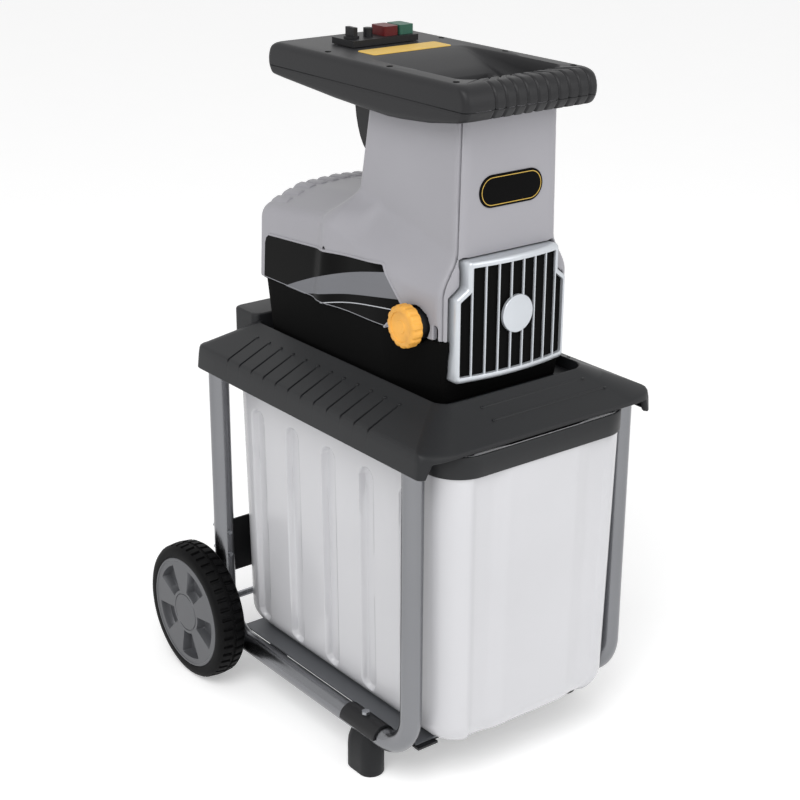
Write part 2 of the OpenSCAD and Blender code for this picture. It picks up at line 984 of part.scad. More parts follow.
// Outline of the grille, grown outwards by gx at the sides and gz at the top and bottom
module grille_outline(gx, gz) {
    neck = grille_neck + gx;
    half = grille_half + gx;
    polygon([[-neck, grille_top_z + gz], [neck, grille_top_z + gz], [neck, grille_neck_z + gz / 2],
        [half, grille_shoulder_z + gz / 2], [half, grille_base_z - gz], [-half, grille_base_z - gz],
        [-half, grille_shoulder_z + gz / 2], [-neck, grille_neck_z + gz / 2]]);
}

// Hollow housing with its cut-outs
module head_shell() {
    difference() {
        head_body(0);
        head_body(shell_t);
        along_y(head_y - 1, cover_y + 1)
            grille_outline(seat_gap, seat_gap);
        bar_x(knob_y, drum_z, -hump_w, 0, collar_r + seat_gap);
    }
}

module left_housing_shell() {
    color(housing_grey)
        intersection() {
            head_shell();
            block([-hump_w, cover_y, 0], [0, head_rear_y + 1, tower_z + 1]);
        }
}

module right_housing_shell() {
    color(housing_grey)
        intersection() {
            head_shell();
            block([0, cover_y, 0], [hump_w, head_rear_y + 1, tower_z + 1]);
        }
}

// Panel on the front of the tower
module front_cover() {
    color(housing_grey)
        intersection() {
            head_shell();
            block([-hump_w, head_y - 1, 0], [hump_w, cover_y, tower_z + 1]);
        }
}

// Black skirt of the head, standing in the deck's well
module lower_housing() {
    color(black)
        difference() {
            hull() {
                translate([0, 0, lower_z - 1])
                    linear_extrude(1)
                        head_plan(0);
                translate([0, 0, well_z])
                    linear_extrude(1)
                        head_plan(-lower_taper);
            }
            hull() {
                translate([0, 0, lower_z])
                    linear_extrude(1)
                        head_plan(-shell_t);
                translate([0, 0, well_z - 1])
                    linear_extrude(1)
                        head_plan(-lower_taper - shell_t);
            }
            along_y(head_y - 1, head_y + lower_taper + shell_t + 1)
                grille_outline(seat_gap, seat_gap);
            bar_x(knob_y, drum_z, -hump_w, 0, collar_r + seat_gap);
        }
}

// Silver grille with upright bars and a bowed face, with a seat for the round boss
module grille_frame() {
    slot_w = bar_pitch - bar_w;
    color(silver)
        difference() {
            intersection() {
                along_y(grille_y, grille_back_y)
                    difference() {
                        grille_outline(0, 0);
                        intersection() {
                            grille_outline(-grille_side, -grille_rim);
                            for (i = [0 : grille_bars])
                                translate([(i - grille_bars / 2) * bar_pitch - slot_w / 2, grille_base_z])
                                    square([slot_w, grille_top_z - grille_base_z]);
                        }
                    }
                translate([0, grille_y + bow_r, grille_base_z - 1])
                    cylinder(h = grille_top_z - grille_base_z + 2, r = bow_r, $fn = 180);
            }
            bar_y(0, disc_z, grille_y - 1, disc_back_y, disc_r + seat_gap);
        }
}

// Dark plate behind the grille, with a slot between each pair of bars
module grille_insert() {
    slot_w = bar_pitch - bar_w - 4;
    color(black)
        along_y(grille_back_y, grille_back_y + 3)
            difference() {
                grille_outline(0, 0);
                for (i = [0 : grille_bars - 2])
                    translate([(i - (grille_bars - 2) / 2) * bar_pitch - slot_w / 2, grille_base_z + 16])
                        square([slot_w, 24]);
            }
}

// Round boss in the middle of the grille
module grille_disc() {
    color(silver)
        bar_y(0, disc_z, grille_y - 1, disc_back_y, disc_r);
}

// Bare badge on the front of the tower
module badge_plate() {
    badge_w = 100;
    badge_h = 40;
    badge_z = 774;
    color(black)
        along_y(head_y - 2, head_y)
            translate([0, badge_z])
                round_rect(badge_w, badge_h, badge_h / 2 - eps);
}

// Printed panel on the side of the head, on the right side
module decal() {
    decal_t = 0.8;
    front_h = 68;
    rear_h = 56;
    nick = 6;
    y0 = head_y + nose_l + 2;
    y1 = head_rear_y - 16;
    z0 = lower_z + 2;
    color(black)
        along_x(hump_half, hump_half + decal_t)
            polygon([[y0, z0], [y1, z0], [y1, lower_z + rear_h], [y0 + nick, lower_z + front_h],
                [y0, lower_z + front_h - nick]]);
}

module left_decal() {
    mirror([1, 0, 0])
        decal();
}

module right_decal() {
    decal();
}

// Hopper

// Funnel from the hopper's mouth to the cutting chamber, thinned by t
module funnel(t) {
    throat_left = -drum_r;
    throat_right = chamber_right - chamber_wall - 4;
    throat_y = chamber_y + chamber_wall - 1;
    open = t > 0 ? 1 : 0;
    hull() {
        translate([-mouth_half - chute_t + t, mouth_y - chute_t + t, tower_z - 1 + open])
            cube([2 * (mouth_half + chute_t - t), mouth_l + 2 * (chute_t - t), 1 + 4 * open]);
        translate([throat_left - chute_t + t, throat_y + t, chamber_top_z - open])
            cube([throat_right - throat_left + 2 * (chute_t - t), drum_l + 2 * (chute_t - t), 1]);
    }
}

module feed_chute() {
    chute_flange_t = 3;
    color(black)
        difference() {
            union() {
                funnel(0);
                slab(tower_w - 2, head_y + 1, tower_rear_y - 1, tower_z, chute_flange_t, 11);
            }
            funnel(chute_t);
        }
}

// Lower moulding of the hopper, thinned by t
module base_body(t) {
    hull() {
        slab(tray_w - 2 * t, tray_front_y + t, tray_rear_y - t, parting_z - 1 + (t > 0 ? 2 : 0), 1, 30 - t);
        slab(tray_w - 6 - 2 * t, tray_front_y + 4 + t, tray_rear_y - 6 - t, base_end_z + 2 + t, 1, 30 - t);
        slab(tray_w - 28 - 2 * t, tray_mid_front_y, tray_mid_rear_y, base_low_z + t, 1, 20);
    }
}

module hopper_base() {
    color(black)
        difference() {
            union() {
                difference() {
                    base_body(0);
                    base_body(tray_t);
                }
                intersection() {
                    base_body(0);
                    for (side = [-1, 1], y = tray_screw_ys)
                        translate([side * tray_screw_x, y, base_low_z])
                            cylinder(h = parting_z - base_low_z, r = tray_boss_r);
                }
            }
            slab(tower_w + 2 * seat_gap + 3, head_y - seat_gap, tower_rear_y + seat_gap + 2,
                base_low_z - 2, tower_z, 12);
            for (side = [-1, 1], y = tray_screw_ys)
                translate([side * tray_screw_x, y, base_end_z + 4])
                    cylinder(h = tray_z, r = 1.9);
        }
}

// Upper moulding of the hopper, thinned by t
module tray_body(t) {
    hull() {
        slab(tray_w - 2 * t, tray_front_y + t, tray_rear_y - t, parting_z - (t > 0 ? 1 : 0), 1, 30 - t);
        slab(tray_w - 2 * t, tray_front_y + t, tray_rear_y - t, tray_z - 15 - t, 1, 30 - t);
        slab(tray_w - 20 - 2 * t, tray_front_y + 10 + t, tray_rear_y - 10 - t, tray_z - 1 - t, 1, 24 - t);
    }
}

// Sloping feed recess with the mouth at its front end, grown downwards by t
module feed_recess(t) {
    along_x(-recess_half - t, recess_half + t)
        polygon([[mouth_y - t, recess_floor_z - t], [mouth_y + mouth_l, recess_floor_z - t],
            [recess_rear_y + t, tray_z - 3 - t], [recess_rear_y + t, tray_z + 10],
            [mouth_y - t, tray_z + 10]]);
}

module hopper_tray() {
    head_r = 3.8;
    color(black)
        difference() {
            union() {
                difference() {
                    tray_body(0);
                    tray_body(tray_t);
                }
                intersection() {
                    tray_body(0);
                    for (side = [-1, 1], y = tray_screw_ys)
                        translate([side * tray_screw_x, y, parting_z])
                            cylinder(h = tray_z, r = tray_boss_r);
                }
                intersection() {
                    block([-tray_w / 2, tray_front_y, recess_floor_z - tray_t],
                        [tray_w / 2, tray_rear_y, tray_z]);
                    feed_recess(tray_t);
                }
            }
            feed_recess(0);
            block([-mouth_half, mouth_y, tower_z], [mouth_half, mouth_y + mouth_l, tray_z]);
            for (side = [-1, 1], y = tray_screw_ys)
                translate([side * tray_screw_x, y, parting_z - 1]) {
                    cylinder(h = tray_z, r = 2.2);
                    translate([0, 0, 21])
                        cylinder(h = tray_z, r = head_r);
                }
        }
}

module tray_screws() {
    color(metal)
        for (side = [-1, 1], y = tray_screw_ys)
            translate([side * tray_screw_x, y, 0]) {
                translate([0, 0, base_end_z + 5])
                    cylinder(h = parting_z + 20 - base_end_z - 5 + 1, r = 1.85);
                translate([0, 0, parting_z + 20])
                    cylinder(h = 2.5, r = 3.5);
            }
}

// Position of the tower's rear face at a height
function tower_back(z) = tower_rear_y + tower_lean * (tower_z - z) / (tower_z - flare_top_z);

// Box for the switch wiring, under the tray and behind the tower
module switch_box() {
    half = 50;
    wall = 3;
    low_z = base_low_z - 75;
    toe_l = 14;
    toe_y = tower_back(low_z) + toe_l;
    steps = 8;
    color(black)
        difference() {
            along_x(-half, half)
                polygon(concat(
                    [[tower_back(base_low_z) + seat_gap, base_low_z],
                        [tower_back(low_z) + seat_gap, low_z]],
                    [for (i = [0 : steps])
                        [toe_y + (box_back_y - toe_y) * sin(i * 90 / steps),
                            low_z + (base_low_z - low_z) * (1 - cos(i * 90 / steps))]]));
            along_x(-half + wall, half - wall)
                polygon([[tower_back(base_low_z) + 2 * wall, base_low_z + 1],
                    [tower_back(low_z) + wall, low_z + 14], [toe_y, low_z + 18],
                    [box_back_y - 14, inlet_z - 4], [box_back_y - 2 * wall, base_low_z + 1]]);
            bar_y(0, inlet_z, box_back_y - 20, box_back_y + 20, inlet_r + seat_gap / 3);
        }
}

// Raised panel that holds the switches
module switch_panel() {
    button_y = panel_y + panel_l / 2;
    color(black)
        difference() {
            block([-panel_w / 2, panel_y, tray_z], [panel_w / 2, panel_y + panel_l, panel_z]);
            for (x = [stop_button_x, start_button_x])
                translate([x, button_y, panel_z - button_pocket])
                    linear_extrude(panel_h)
                        round_rect(button_w + 2 * seat_gap, button_l + 2 * seat_gap, 3);
            translate([reset_x, button_y, panel_z - button_pocket])
                cylinder(h = panel_h, r = reset_r + seat_gap);
            translate([selector_x, button_y, panel_z - button_pocket])
                cylinder(h = panel_h, r = 4 + run_gap);
        }
}

// One rectangular push button at a place across the panel
module push_button(x) {
    translate([x, panel_y + panel_l / 2, panel_z - button_pocket + button_travel + 1])
        linear_extrude(button_pocket - button_travel - 1 + button_proud)
            round_rect(button_w, button_l, 3);
}

module start_button() {
    color("seagreen")
        push_button(start_button_x);
}

module stop_button() {
    color("firebrick")
        push_button(stop_button_x);
}

// Turning selector for the drum's direction
module direction_selector() {
    color(black)
        translate([selector_x, panel_y + panel_l / 2, panel_z]) {
            translate([0, 0, 0.2])
                cylinder(h = 3, r = selector_r);
            translate([-3, -selector_r + 1, 3])
                cube([6, 2 * selector_r - 2, selector_h - 3]);
            translate([0, 0, -button_pocket + 1])
                cylinder(h = button_pocket, r = 4);
        }
}

// Push button that resets the overload cut-out
module reset_button() {
    color([0.3, 0.3, 0.32])
        translate([reset_x, panel_y + panel_l / 2, panel_z - button_pocket + button_travel + 1])
            cylinder(h = button_pocket - button_travel - 1 + button_proud - 1, r = reset_r);
}

// Mains inlet with a round shroud and two pins, on the back of the switch box
module power_inlet() {
    wall = 3;
    pin_r = 2;
    front_y = box_back_y - 12;
    rear_y = box_back_y + 16;
    color(black)
        union() {
            difference() {
                bar_y(0, inlet_z, front_y, rear_y, inlet_r);
                bar_y(0, inlet_z, front_y + wall, rear_y + 1, inlet_r - wall);
            }
            for (side = [-1, 1])
                bar_y(side * inlet_r * 0.3, inlet_z, front_y + 1, rear_y - 6, pin_r);
        }
}

// Cutting drive

// Open frame of cast aluminium around the drum
module crusher_housing() {
    color(metal)
        difference() {
            block([chamber_left, chamber_y, well_z], [chamber_right, chamber_rear_y, chamber_top_z]);
            block([chamber_left + chamber_wall, chamber_y + chamber_wall, well_z - 1],
                [chamber_right - chamber_wall, chamber_rear_y - chamber_wall, chamber_top_z + 1]);
            bar_y(0, drum_z, chamber_y - 1, chamber_rear_y + 1, bearing_r);
            bar_x(knob_y, drum_z, chamber_left - 1, chamber_left + chamber_wall + 1, screw_r + run_gap);
        }
}

// Bearing rings in the front and rear walls of the chamber
module drum_bearings() {
    color(metal)
        for (y = [chamber_y, chamber_rear_y - chamber_wall])
            along_y(y, y + chamber_wall)
                translate([0, drum_z])
                    difference() {
                        circle(bearing_r);
                        circle(shaft_r + run_gap);
                    }
}

// Drum with straight cutting ridges, on its shaft
module cutting_drum() {
    core_r = drum_r - 6;
    ridge_w = 7;
    color(metal)
        union() {
            along_y(drum_y, drum_y + drum_l)
                translate([0, drum_z]) {
                    circle(core_r);
                    for (i = [0 : drum_ridges - 1])
                        rotate(i * 360 / drum_ridges)
                            translate([core_r - 4, -ridge_w / 2])
                                polygon([[0, 0], [10, ridge_w * 0.35], [10, ridge_w * 0.65], [0, ridge_w]]);
                }
            bar_y(0, drum_z, chamber_y - 1, drum_gear_y + drum_gear_w + 2, shaft_r);
        }
}

module drum_gear() {
    color(metal)
        along_y(drum_gear_y, drum_gear_y + drum_gear_w)
            translate([0, drum_z])
                difference() {
                    gear_shape(drum_module, gear_teeth, inter_angle);
                    circle(shaft_r);
                }
}

// Steel plate that the drum squeezes the wood against, threaded on the adjusting screw
module pressure_plate() {
    color(metal)
        difference() {
            block([plate_x - plate_w, drum_y - 1, drum_z - plate_half_h],
                [plate_x, drum_y + drum_l + 1, drum_z + plate_half_h]);
            bar_x(knob_y, drum_z, plate_x - plate_w - 1, bore_end_x, screw_r + run_gap);
        }
}

// Screw that moves the pressure plate, with a thrust collar outside the chamber
module adjusting_screw() {
    tip_x = bore_end_x - 4;
    color(metal)
        union() {
            bar_x(knob_y, drum_z, knob_in_x - knob_bore, tip_x, screw_r);
            bar_x(knob_y, drum_z, chamber_left - seat_gap - 4, chamber_left - seat_gap, screw_r + 4);
        }
}

// Scalloped hand knob with a blind bore
module adjusting_knob() {
    lobe_r = knob_r * 0.24;
    color(knob_yellow)
        difference() {
            along_x(knob_in_x - knob_w, knob_in_x)
                translate([knob_y, drum_z]) {
                    circle(knob_r - lobe_r * 0.6);
                    for (i = [0 : knob_lobes - 1])
                        rotate(i * 360 / knob_lobes)
                            translate([knob_r - lobe_r, 0])
                                circle(lobe_r, $fn = 24);
                }
            bar_x(knob_y, drum_z, knob_in_x - knob_bore, knob_in_x + 1, screw_r);
        }
}

// Bush in the side shell that the screw turns in
module knob_collar() {
    color(black)
        along_x(collar_out_x, collar_out_x + collar_w)
            translate([knob_y, drum_z])
                difference() {
                    circle(collar_r);
                    circle(screw_r + run_gap);
                }
}

// Cup between the chamber and the motor flange that holds the gears
module gearbox_housing() {
    drum_room = drum_module * (gear_teeth + 2) / 2 + 2;
    inter_room = motor_module * (gear_teeth + 2) / 2 + 2;
    color(metal)
        difference() {
            along_y(chamber_rear_y, flange_y) {
                translate([0, drum_z])
                    circle(drum_room + gearbox_wall);
                translate([inter_x, inter_z])
                    circle(inter_room + gearbox_wall);
            }
            along_y(chamber_rear_y + gearbox_wall, flange_y + 1) {
                translate([0, drum_z])
                    circle(drum_room);
                translate([inter_x, inter_z])
                    circle(inter_room);
            }
            bar_y(0, drum_z, chamber_rear_y - 1, flange_y, shaft_r + 1);
            bar_y(inter_x, inter_z, chamber_rear_y - 1, flange_y, inter_shaft_r + run_gap);
        }
}

// Countershaft with a small pinion and a large gear
module intermediate_gear() {
    color(metal)
        translate([inter_x, 0, inter_z]) {
            along_y(drum_gear_y - 1, drum_gear_y + drum_gear_w + 1)
                gear_shape(drum_module, pinion_teeth, inter_angle + 180 + 180 / pinion_teeth);
            along_y(inter_gear_y, inter_gear_y + inter_gear_w)
                gear_shape(motor_module, gear_teeth, motor_angle);
            bar_y(0, 0, chamber_rear_y + 0.5, flange_y + flange_t - 0.5, inter_shaft_r);
        }
}

// Upright plate that carries the motor and closes the gearbox
module motor_flange() {
    half = 100;
    color(metal)
        difference() {
            block([-half, flange_y, well_z], [half, flange_y + flange_t, hump_corner_z - 6]);
            bar_y(motor_x, motor_z, flange_y - 1, flange_y + flange_t + 1, motor_shaft_r + run_gap);
            bar_y(inter_x, inter_z, flange_y - 1, flange_y + flange_t + 1, inter_shaft_r + run_gap);
        }
}

// Motor body with its windings, closed by an end shield
module motor_stator() {
    shield_t = 6;
    color(copper)
        translate([motor_x, 0, motor_z])
            difference() {
                bar_y(0, 0, motor_y, motor_y + motor_l, motor_d / 2);
                bar_y(0, 0, motor_y - 1, motor_y + motor_l - shield_t, motor_d / 2 - stator_t);
                bar_y(0, 0, motor_y, motor_y + motor_l + 1, motor_shaft_r + run_gap);
            }
}

// Rotor on its shaft, with the motor pinion cut on the shaft's nose
module motor_rotor() {
    rotor_r = motor_d / 2 - stator_t - rotor_gap;
    color(metal)
        translate([motor_x, 0, motor_z]) {
            bar_y(0, 0, motor_y + 14, motor_y + motor_l - 24, rotor_r);
            bar_y(0, 0, flange_y + 0.5, fan_y + fan_w + 4, motor_shaft_r);
            along_y(inter_gear_y - 1, flange_y + 1)
                gear_shape(motor_module, pinion_teeth, motor_angle - 180 + 180 / pinion_teeth);
        }
}

// Cooling fan on the rear end of the motor shaft
module cooling_fan() {
    fan_r = motor_d / 2 - 6;
    hub_fan_r = 16;
    blade_t = 3;
    blades = 9;
    color(black)
        translate([motor_x, 0, motor_z])
            along_y(fan_y, fan_y + fan_w)
                difference() {
                    union() {
                        circle(hub_fan_r);
                        for (i = [0 : blades - 1])
                            rotate(i * 360 / blades)
                                translate([hub_fan_r - 2, -blade_t / 2])
                                    square([fan_r - hub_fan_r + 2, blade_t]);
                    }
                    circle(motor_shaft_r);
                }
}

left_frame_tube();
right_frame_tube();
rear_cross_plate();
front_cross_plate();
rear_floor_strap();
floor_plate();
left_axle_bracket();
right_axle_bracket();
left_foot();
right_foot();
frame_bolts();
foot_bolts();
axle();
axle_retainers();
left_wheel_rim();
left_tyre();
left_hub_cap();
right_wheel_rim();
right_tyre();
right_hub_cap();
deck();
discharge_chute();
interlock_switch();
collection_box();
box_rim();
lower_housing();
left_housing_shell();
right_housing_shell();
front_cover();
grille_frame();
grille_insert();
grille_disc();
badge_plate();
left_decal();
right_decal();
feed_chute();
hopper_base();
hopper_tray();
tray_screws();
switch_box();
switch_panel();
start_button();
stop_button();
direction_selector();
reset_button();
power_inlet();
crusher_housing();
drum_bearings();
cutting_drum();
drum_gear();
pressure_plate();
adjusting_screw();
adjusting_knob();
knob_collar();
gearbox_housing();
intermediate_gear();
motor_flange();
motor_stator();
motor_rotor();
cooling_fan();
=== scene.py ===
import math

import bpy
import numpy as np
from mathutils import Matrix, Vector


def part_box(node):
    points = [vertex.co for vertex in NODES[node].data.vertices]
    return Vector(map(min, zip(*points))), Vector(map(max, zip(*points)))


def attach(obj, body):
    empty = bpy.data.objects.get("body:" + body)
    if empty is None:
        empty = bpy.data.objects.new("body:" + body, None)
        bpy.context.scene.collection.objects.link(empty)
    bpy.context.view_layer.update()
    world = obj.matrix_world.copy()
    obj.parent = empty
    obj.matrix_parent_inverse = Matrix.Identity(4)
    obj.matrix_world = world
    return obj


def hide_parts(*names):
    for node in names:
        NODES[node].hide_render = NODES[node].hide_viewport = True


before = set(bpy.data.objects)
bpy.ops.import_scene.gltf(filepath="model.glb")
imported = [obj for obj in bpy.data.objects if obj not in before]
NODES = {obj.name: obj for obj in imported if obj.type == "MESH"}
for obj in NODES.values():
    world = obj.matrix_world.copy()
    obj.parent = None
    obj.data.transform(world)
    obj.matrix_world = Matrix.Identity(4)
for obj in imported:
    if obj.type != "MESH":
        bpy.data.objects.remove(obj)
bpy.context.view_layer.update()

# All lengths below are in millimetres in the part's own frame
MM = 0.001
HEAD_FRONT, HEAD_REAR, HEAD_TOP = -216.25, 149.75, 872.0
NOSE_HALF, HUMP_HALF, NOSE_LENGTH = 101.0, 120.0, 96.0
SEAM_Z = 597.0
TRAY_FRONT, TRAY_REAR, TRAY_HALF = -254.25, 149.75, 104.0
KNOB_Y, KNOB_Z = -170.25, 612.0


# Materials

def srgb(code):
    """Linear colour of a six-digit sRGB code."""
    parts = [int(code[i:i + 2], 16) / 255.0 for i in (0, 2, 4)]
    return [p / 12.92 if p <= 0.04045 else ((p + 0.055) / 1.055) ** 2.4 for p in parts]


def node_material(name, code, rough, metallic=0.0, vary=0.06, grain=900.0, bump=0.05, soft=6.0, spec=0.5):
    """A surface whose colour and roughness vary with noise in the part's own frame."""
    mat = bpy.data.materials.new(name)
    mat.use_nodes = True
    tree = mat.node_tree
    tree.nodes.clear()
    out = tree.nodes.new("ShaderNodeOutputMaterial")
    bsdf = tree.nodes.new("ShaderNodeBsdfPrincipled")
    coord = tree.nodes.new("ShaderNodeTexCoord")
    large = tree.nodes.new("ShaderNodeTexNoise")
    large.inputs["Scale"].default_value = soft
    large.inputs["Detail"].default_value = 3.0
    fine = tree.nodes.new("ShaderNodeTexNoise")
    fine.inputs["Scale"].default_value = grain
    fine.inputs["Detail"].default_value = 2.0
    ramp = tree.nodes.new("ShaderNodeValToRGB")
    colour = srgb(code)
    ramp.color_ramp.elements[0].position = 0.3
    ramp.color_ramp.elements[0].color = [c * (1.0 - vary) for c in colour] + [1.0]
    ramp.color_ramp.elements[1].position = 0.7
    ramp.color_ramp.elements[1].color = [min(1.0, c * (1.0 + vary)) for c in colour] + [1.0]
    spread = tree.nodes.new("ShaderNodeMapRange")
    spread.inputs["To Min"].default_value = max(0.02, rough - 0.05)
    spread.inputs["To Max"].default_value = min(1.0, rough + 0.05)
    relief = tree.nodes.new("ShaderNodeBump")
    relief.inputs["Strength"].default_value = bump
    relief.inputs["Distance"].default_value = 0.0004
    for texture in (large, fine):
        tree.links.new(coord.outputs["Object"], texture.inputs["Vector"])
    tree.links.new(large.outputs["Fac"], ramp.inputs["Fac"])
    tree.links.new(fine.outputs["Fac"], spread.inputs["Value"])
    tree.links.new(fine.outputs["Fac"], relief.inputs["Height"])
    tree.links.new(ramp.outputs["Color"], bsdf.inputs["Base Color"])
    tree.links.new(spread.outputs["Result"], bsdf.inputs["Roughness"])
    tree.links.new(relief.outputs["Normal"], bsdf.inputs["Normal"])
    bsdf.inputs["Metallic"].default_value = metallic
    bsdf.inputs["Specular IOR Level"].default_value = spec
    tree.links.new(bsdf.outputs["BSDF"], out.inputs["Surface"])
    return mat


MATS = {
    "housing_grey": node_material("housing_grey", "939297", 0.40, vary=0.03, bump=0.06, spec=0.4),
    "black_plastic": node_material("black_plastic", "19191B", 0.45, vary=0.08, bump=0.12, spec=0.3),
    "dark_grey_plastic": node_material("dark_grey_plastic", "191A1C", 0.48, vary=0.08, bump=0.12, spec=0.3),
    "silver_plastic": node_material("silver_plastic", "BFC3C8", 0.34, metallic=0.5, vary=0.05),
    "knob_yellow": node_material("knob_yellow", "DCA045", 0.42, vary=0.12, soft=40.0, spec=0.3),
    "box_clear": node_material("box_clear", "BDBDC0", 0.2, vary=0.03, soft=4.0, bump=0.0),
    "tube_grey": node_material("tube_grey", "7E7F82", 0.24, metallic=1.0, vary=0.03, bump=0.0),
    "sheet_grey": node_material("sheet_grey", "77797D", 0.42, metallic=0.4, vary=0.05),
    "black_metal": node_material("black_metal", "161618", 0.40, vary=0.08, spec=0.3),
    "foot_rubber": node_material("foot_rubber", "161719", 0.55, vary=0.1, bump=0.2, spec=0.25),
    "tyre_black": node_material("tyre_black", "070708", 0.60, vary=0.1, bump=0.2, spec=0.1),
    "wheel_grey": node_material("wheel_grey", "525356", 0.36, metallic=0.3, vary=0.05, spec=0.4),
    "steel": node_material("steel", "9A9CA0", 0.28, metallic=0.9, vary=0.06),
    "cast_alloy": node_material("cast_alloy", "8E9094", 0.5, metallic=0.7, vary=0.08, bump=0.25),
    "green_plastic": node_material("green_plastic", "2F5A4B", 0.45, vary=0.06, spec=0.3),
    "red_plastic": node_material("red_plastic", "571416", 0.42, vary=0.06, spec=0.3),
    "winding": node_material("winding", "A0582C", 0.4, metallic=0.6, vary=0.15, grain=500.0),
}
# Near-black and dull: the real black of the badge and lower housing, and also painted shade for the grille's
# inside, the screw holes and the deck's well.
BLACK_AND_SHADE = node_material("black_and_painted_shade", "080808", 0.7, vary=0.1, spec=0.05)
GOLD_LINE = node_material("gold_line", "C3A24B", 0.35, metallic=0.5, vary=0.05)
PLAIN_STRIP = node_material("plain_strip", "D9B45A", 0.5, vary=0.08, soft=30.0, spec=0.3)


# Mesh helpers

def piece(name, parts, slot, body="machine", replaces=(), angle=32.0, mat=None):
    """A named mesh from points in millimetres, shaded smooth up to the given edge angle."""
    points, faces = parts
    mesh = bpy.data.meshes.new(name)
    mesh.from_pydata([tuple(p) for p in np.asarray(points, dtype=float) * MM], [],
                     [tuple(int(i) for i in f) for f in faces])
    mesh.validate()
    mesh.polygons.foreach_set("use_smooth", [True] * len(mesh.polygons))
    mesh.set_sharp_from_angle(angle=math.radians(angle))
    obj = bpy.data.objects.new(name, mesh)
    bpy.context.scene.collection.objects.link(obj)
    mesh.materials.append(mat or MATS[slot])
    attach(obj, body)
    if replaces:
        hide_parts(*replaces)
    return obj


def loft(rings, cap_first=False, cap_last=False, flip=False):
    """Points and quads over closed rings with the same number of points."""
    rings = np.asarray(rings, dtype=float)
    count, n = rings.shape[0], rings.shape[1]
    faces = []
    for r in range(count - 1):
        low, high = r * n, (r + 1) * n
        for i in range(n):
            j = (i + 1) % n
            faces.append((low + i, low + j, high + j, high + i))
    if cap_first:
        faces.append(tuple(range(n - 1, -1, -1)))
    if cap_last:
        faces.append(tuple((count - 1) * n + i for i in range(n)))
    if flip:
        faces = [tuple(reversed(f)) for f in faces]
    return rings.reshape(-1, 3), faces


def sheet(grid, flip=False):
    """Points and quads over a grid of points."""
    grid = np.asarray(grid, dtype=float)
    rows, cols = grid.shape[0], grid.shape[1]
    faces = []
    for r in range(rows - 1):
        for c in range(cols - 1):
            k = r * cols + c
            faces.append((k, k + 1, k + cols + 1, k + cols))
    if flip:
        faces = [tuple(reversed(f)) for f in faces]
    return grid.reshape(-1, 3), faces


def merge(*parts):
    """One point and face list from several."""
    points, faces, base = [], [], 0
    for p, f in parts:
        points.append(np.asarray(p, dtype=float))
        faces += [tuple(i + base for i in q) for q in f]
        base += len(p)
    return np.concatenate(points), faces


def arc(cx, cy, r, start, end, n):
    """Points along an arc, angles in degrees."""
    t = np.radians(np.linspace(start, end, n))
    return np.stack([cx + r * np.cos(t), cy + r * np.sin(t)], axis=1)


def round_poly(points, radii, n=8):
    """A polygon with rounded corners, counter-clockwise, n points to a corner."""
    pts = np.asarray(points, dtype=float)
    radii = np.broadcast_to(radii, (len(pts),))
    out = []
    for i, p in enumerate(pts):
        before, after = pts[i - 1] - p, pts[(i + 1) % len(pts)] - p
        u, v = before / np.linalg.norm(before), after / np.linalg.norm(after)
        half = math.acos(max(-1.0, min(1.0, float(u @ v)))) / 2.0
        start, end = p + u * radii[i] / math.tan(half), p + v * radii[i] / math.tan(half)
        centre = p + (u + v) / np.linalg.norm(u + v) * radii[i] / math.sin(half)
        first = math.atan2(*(start - centre)[::-1])
        turn = math.atan2(*(end - centre)[::-1]) - first
        turn = (turn + math.pi) % (2 * math.pi) - math.pi
        for g in first + turn * np.linspace(0.0, 1.0, n):
            out.append(centre + radii[i] * np.array([math.cos(g), math.sin(g)]))
    return np.array(out)


def rect_ring(x0, x1, y0, y1, r, n_front, n_side, n_corner=12):
    """A rounded rectangle, counter-clockwise from the front left, with set counts on each edge."""
    def line(a, b, n):
        t = (np.arange(n) + 0.5)[:, None] / n
        return np.asarray(a) + (np.asarray(b, dtype=float) - np.asarray(a)) * t
    return np.concatenate([
        line((x0 + r, y0), (x1 - r, y0), n_front), arc(x1 - r, y0 + r, r, -90, 0, n_corner),
        line((x1, y0 + r), (x1, y1 - r), n_side), arc(x1 - r, y1 - r, r, 0, 90, n_corner),
        line((x1 - r, y1), (x0 + r, y1), n_front), arc(x0 + r, y1 - r, r, 90, 180, n_corner),
        line((x0, y1 - r), (x0, y0 + r), n_side), arc(x0 + r, y0 + r, r, 180, 270, n_corner)])


def flat(outline, z):
    """An outline in x and y set at a height."""
    return np.stack([outline[:, 0], outline[:, 1], np.broadcast_to(z, (len(outline),))], axis=1)


def upright(outline, y):
    """An outline in x and z set at a place along y."""
    return np.stack([outline[:, 0], np.broadcast_to(y, (len(outline),)), outline[:, 1]], axis=1)


def smoothstep(a, b, x):
    """A smooth climb from 0 at a to 1 at b."""
    t = np.clip((np.asarray(x, dtype=float) - a) / (b - a), 0.0, 1.0)
    return t * t * (3.0 - 2.0 * t)


def smin(a, b, k):
    """The lower of two values, blended over a width of k."""
    h = np.clip(0.5 + 0.5 * (b - a) / k, 0.0, 1.0)
    return b + (a - b) * h - k * h * (1.0 - h)


def smax(a, b, k):
    """The higher of two values, blended over a width of k."""
    return -smin(-a, -b, k)


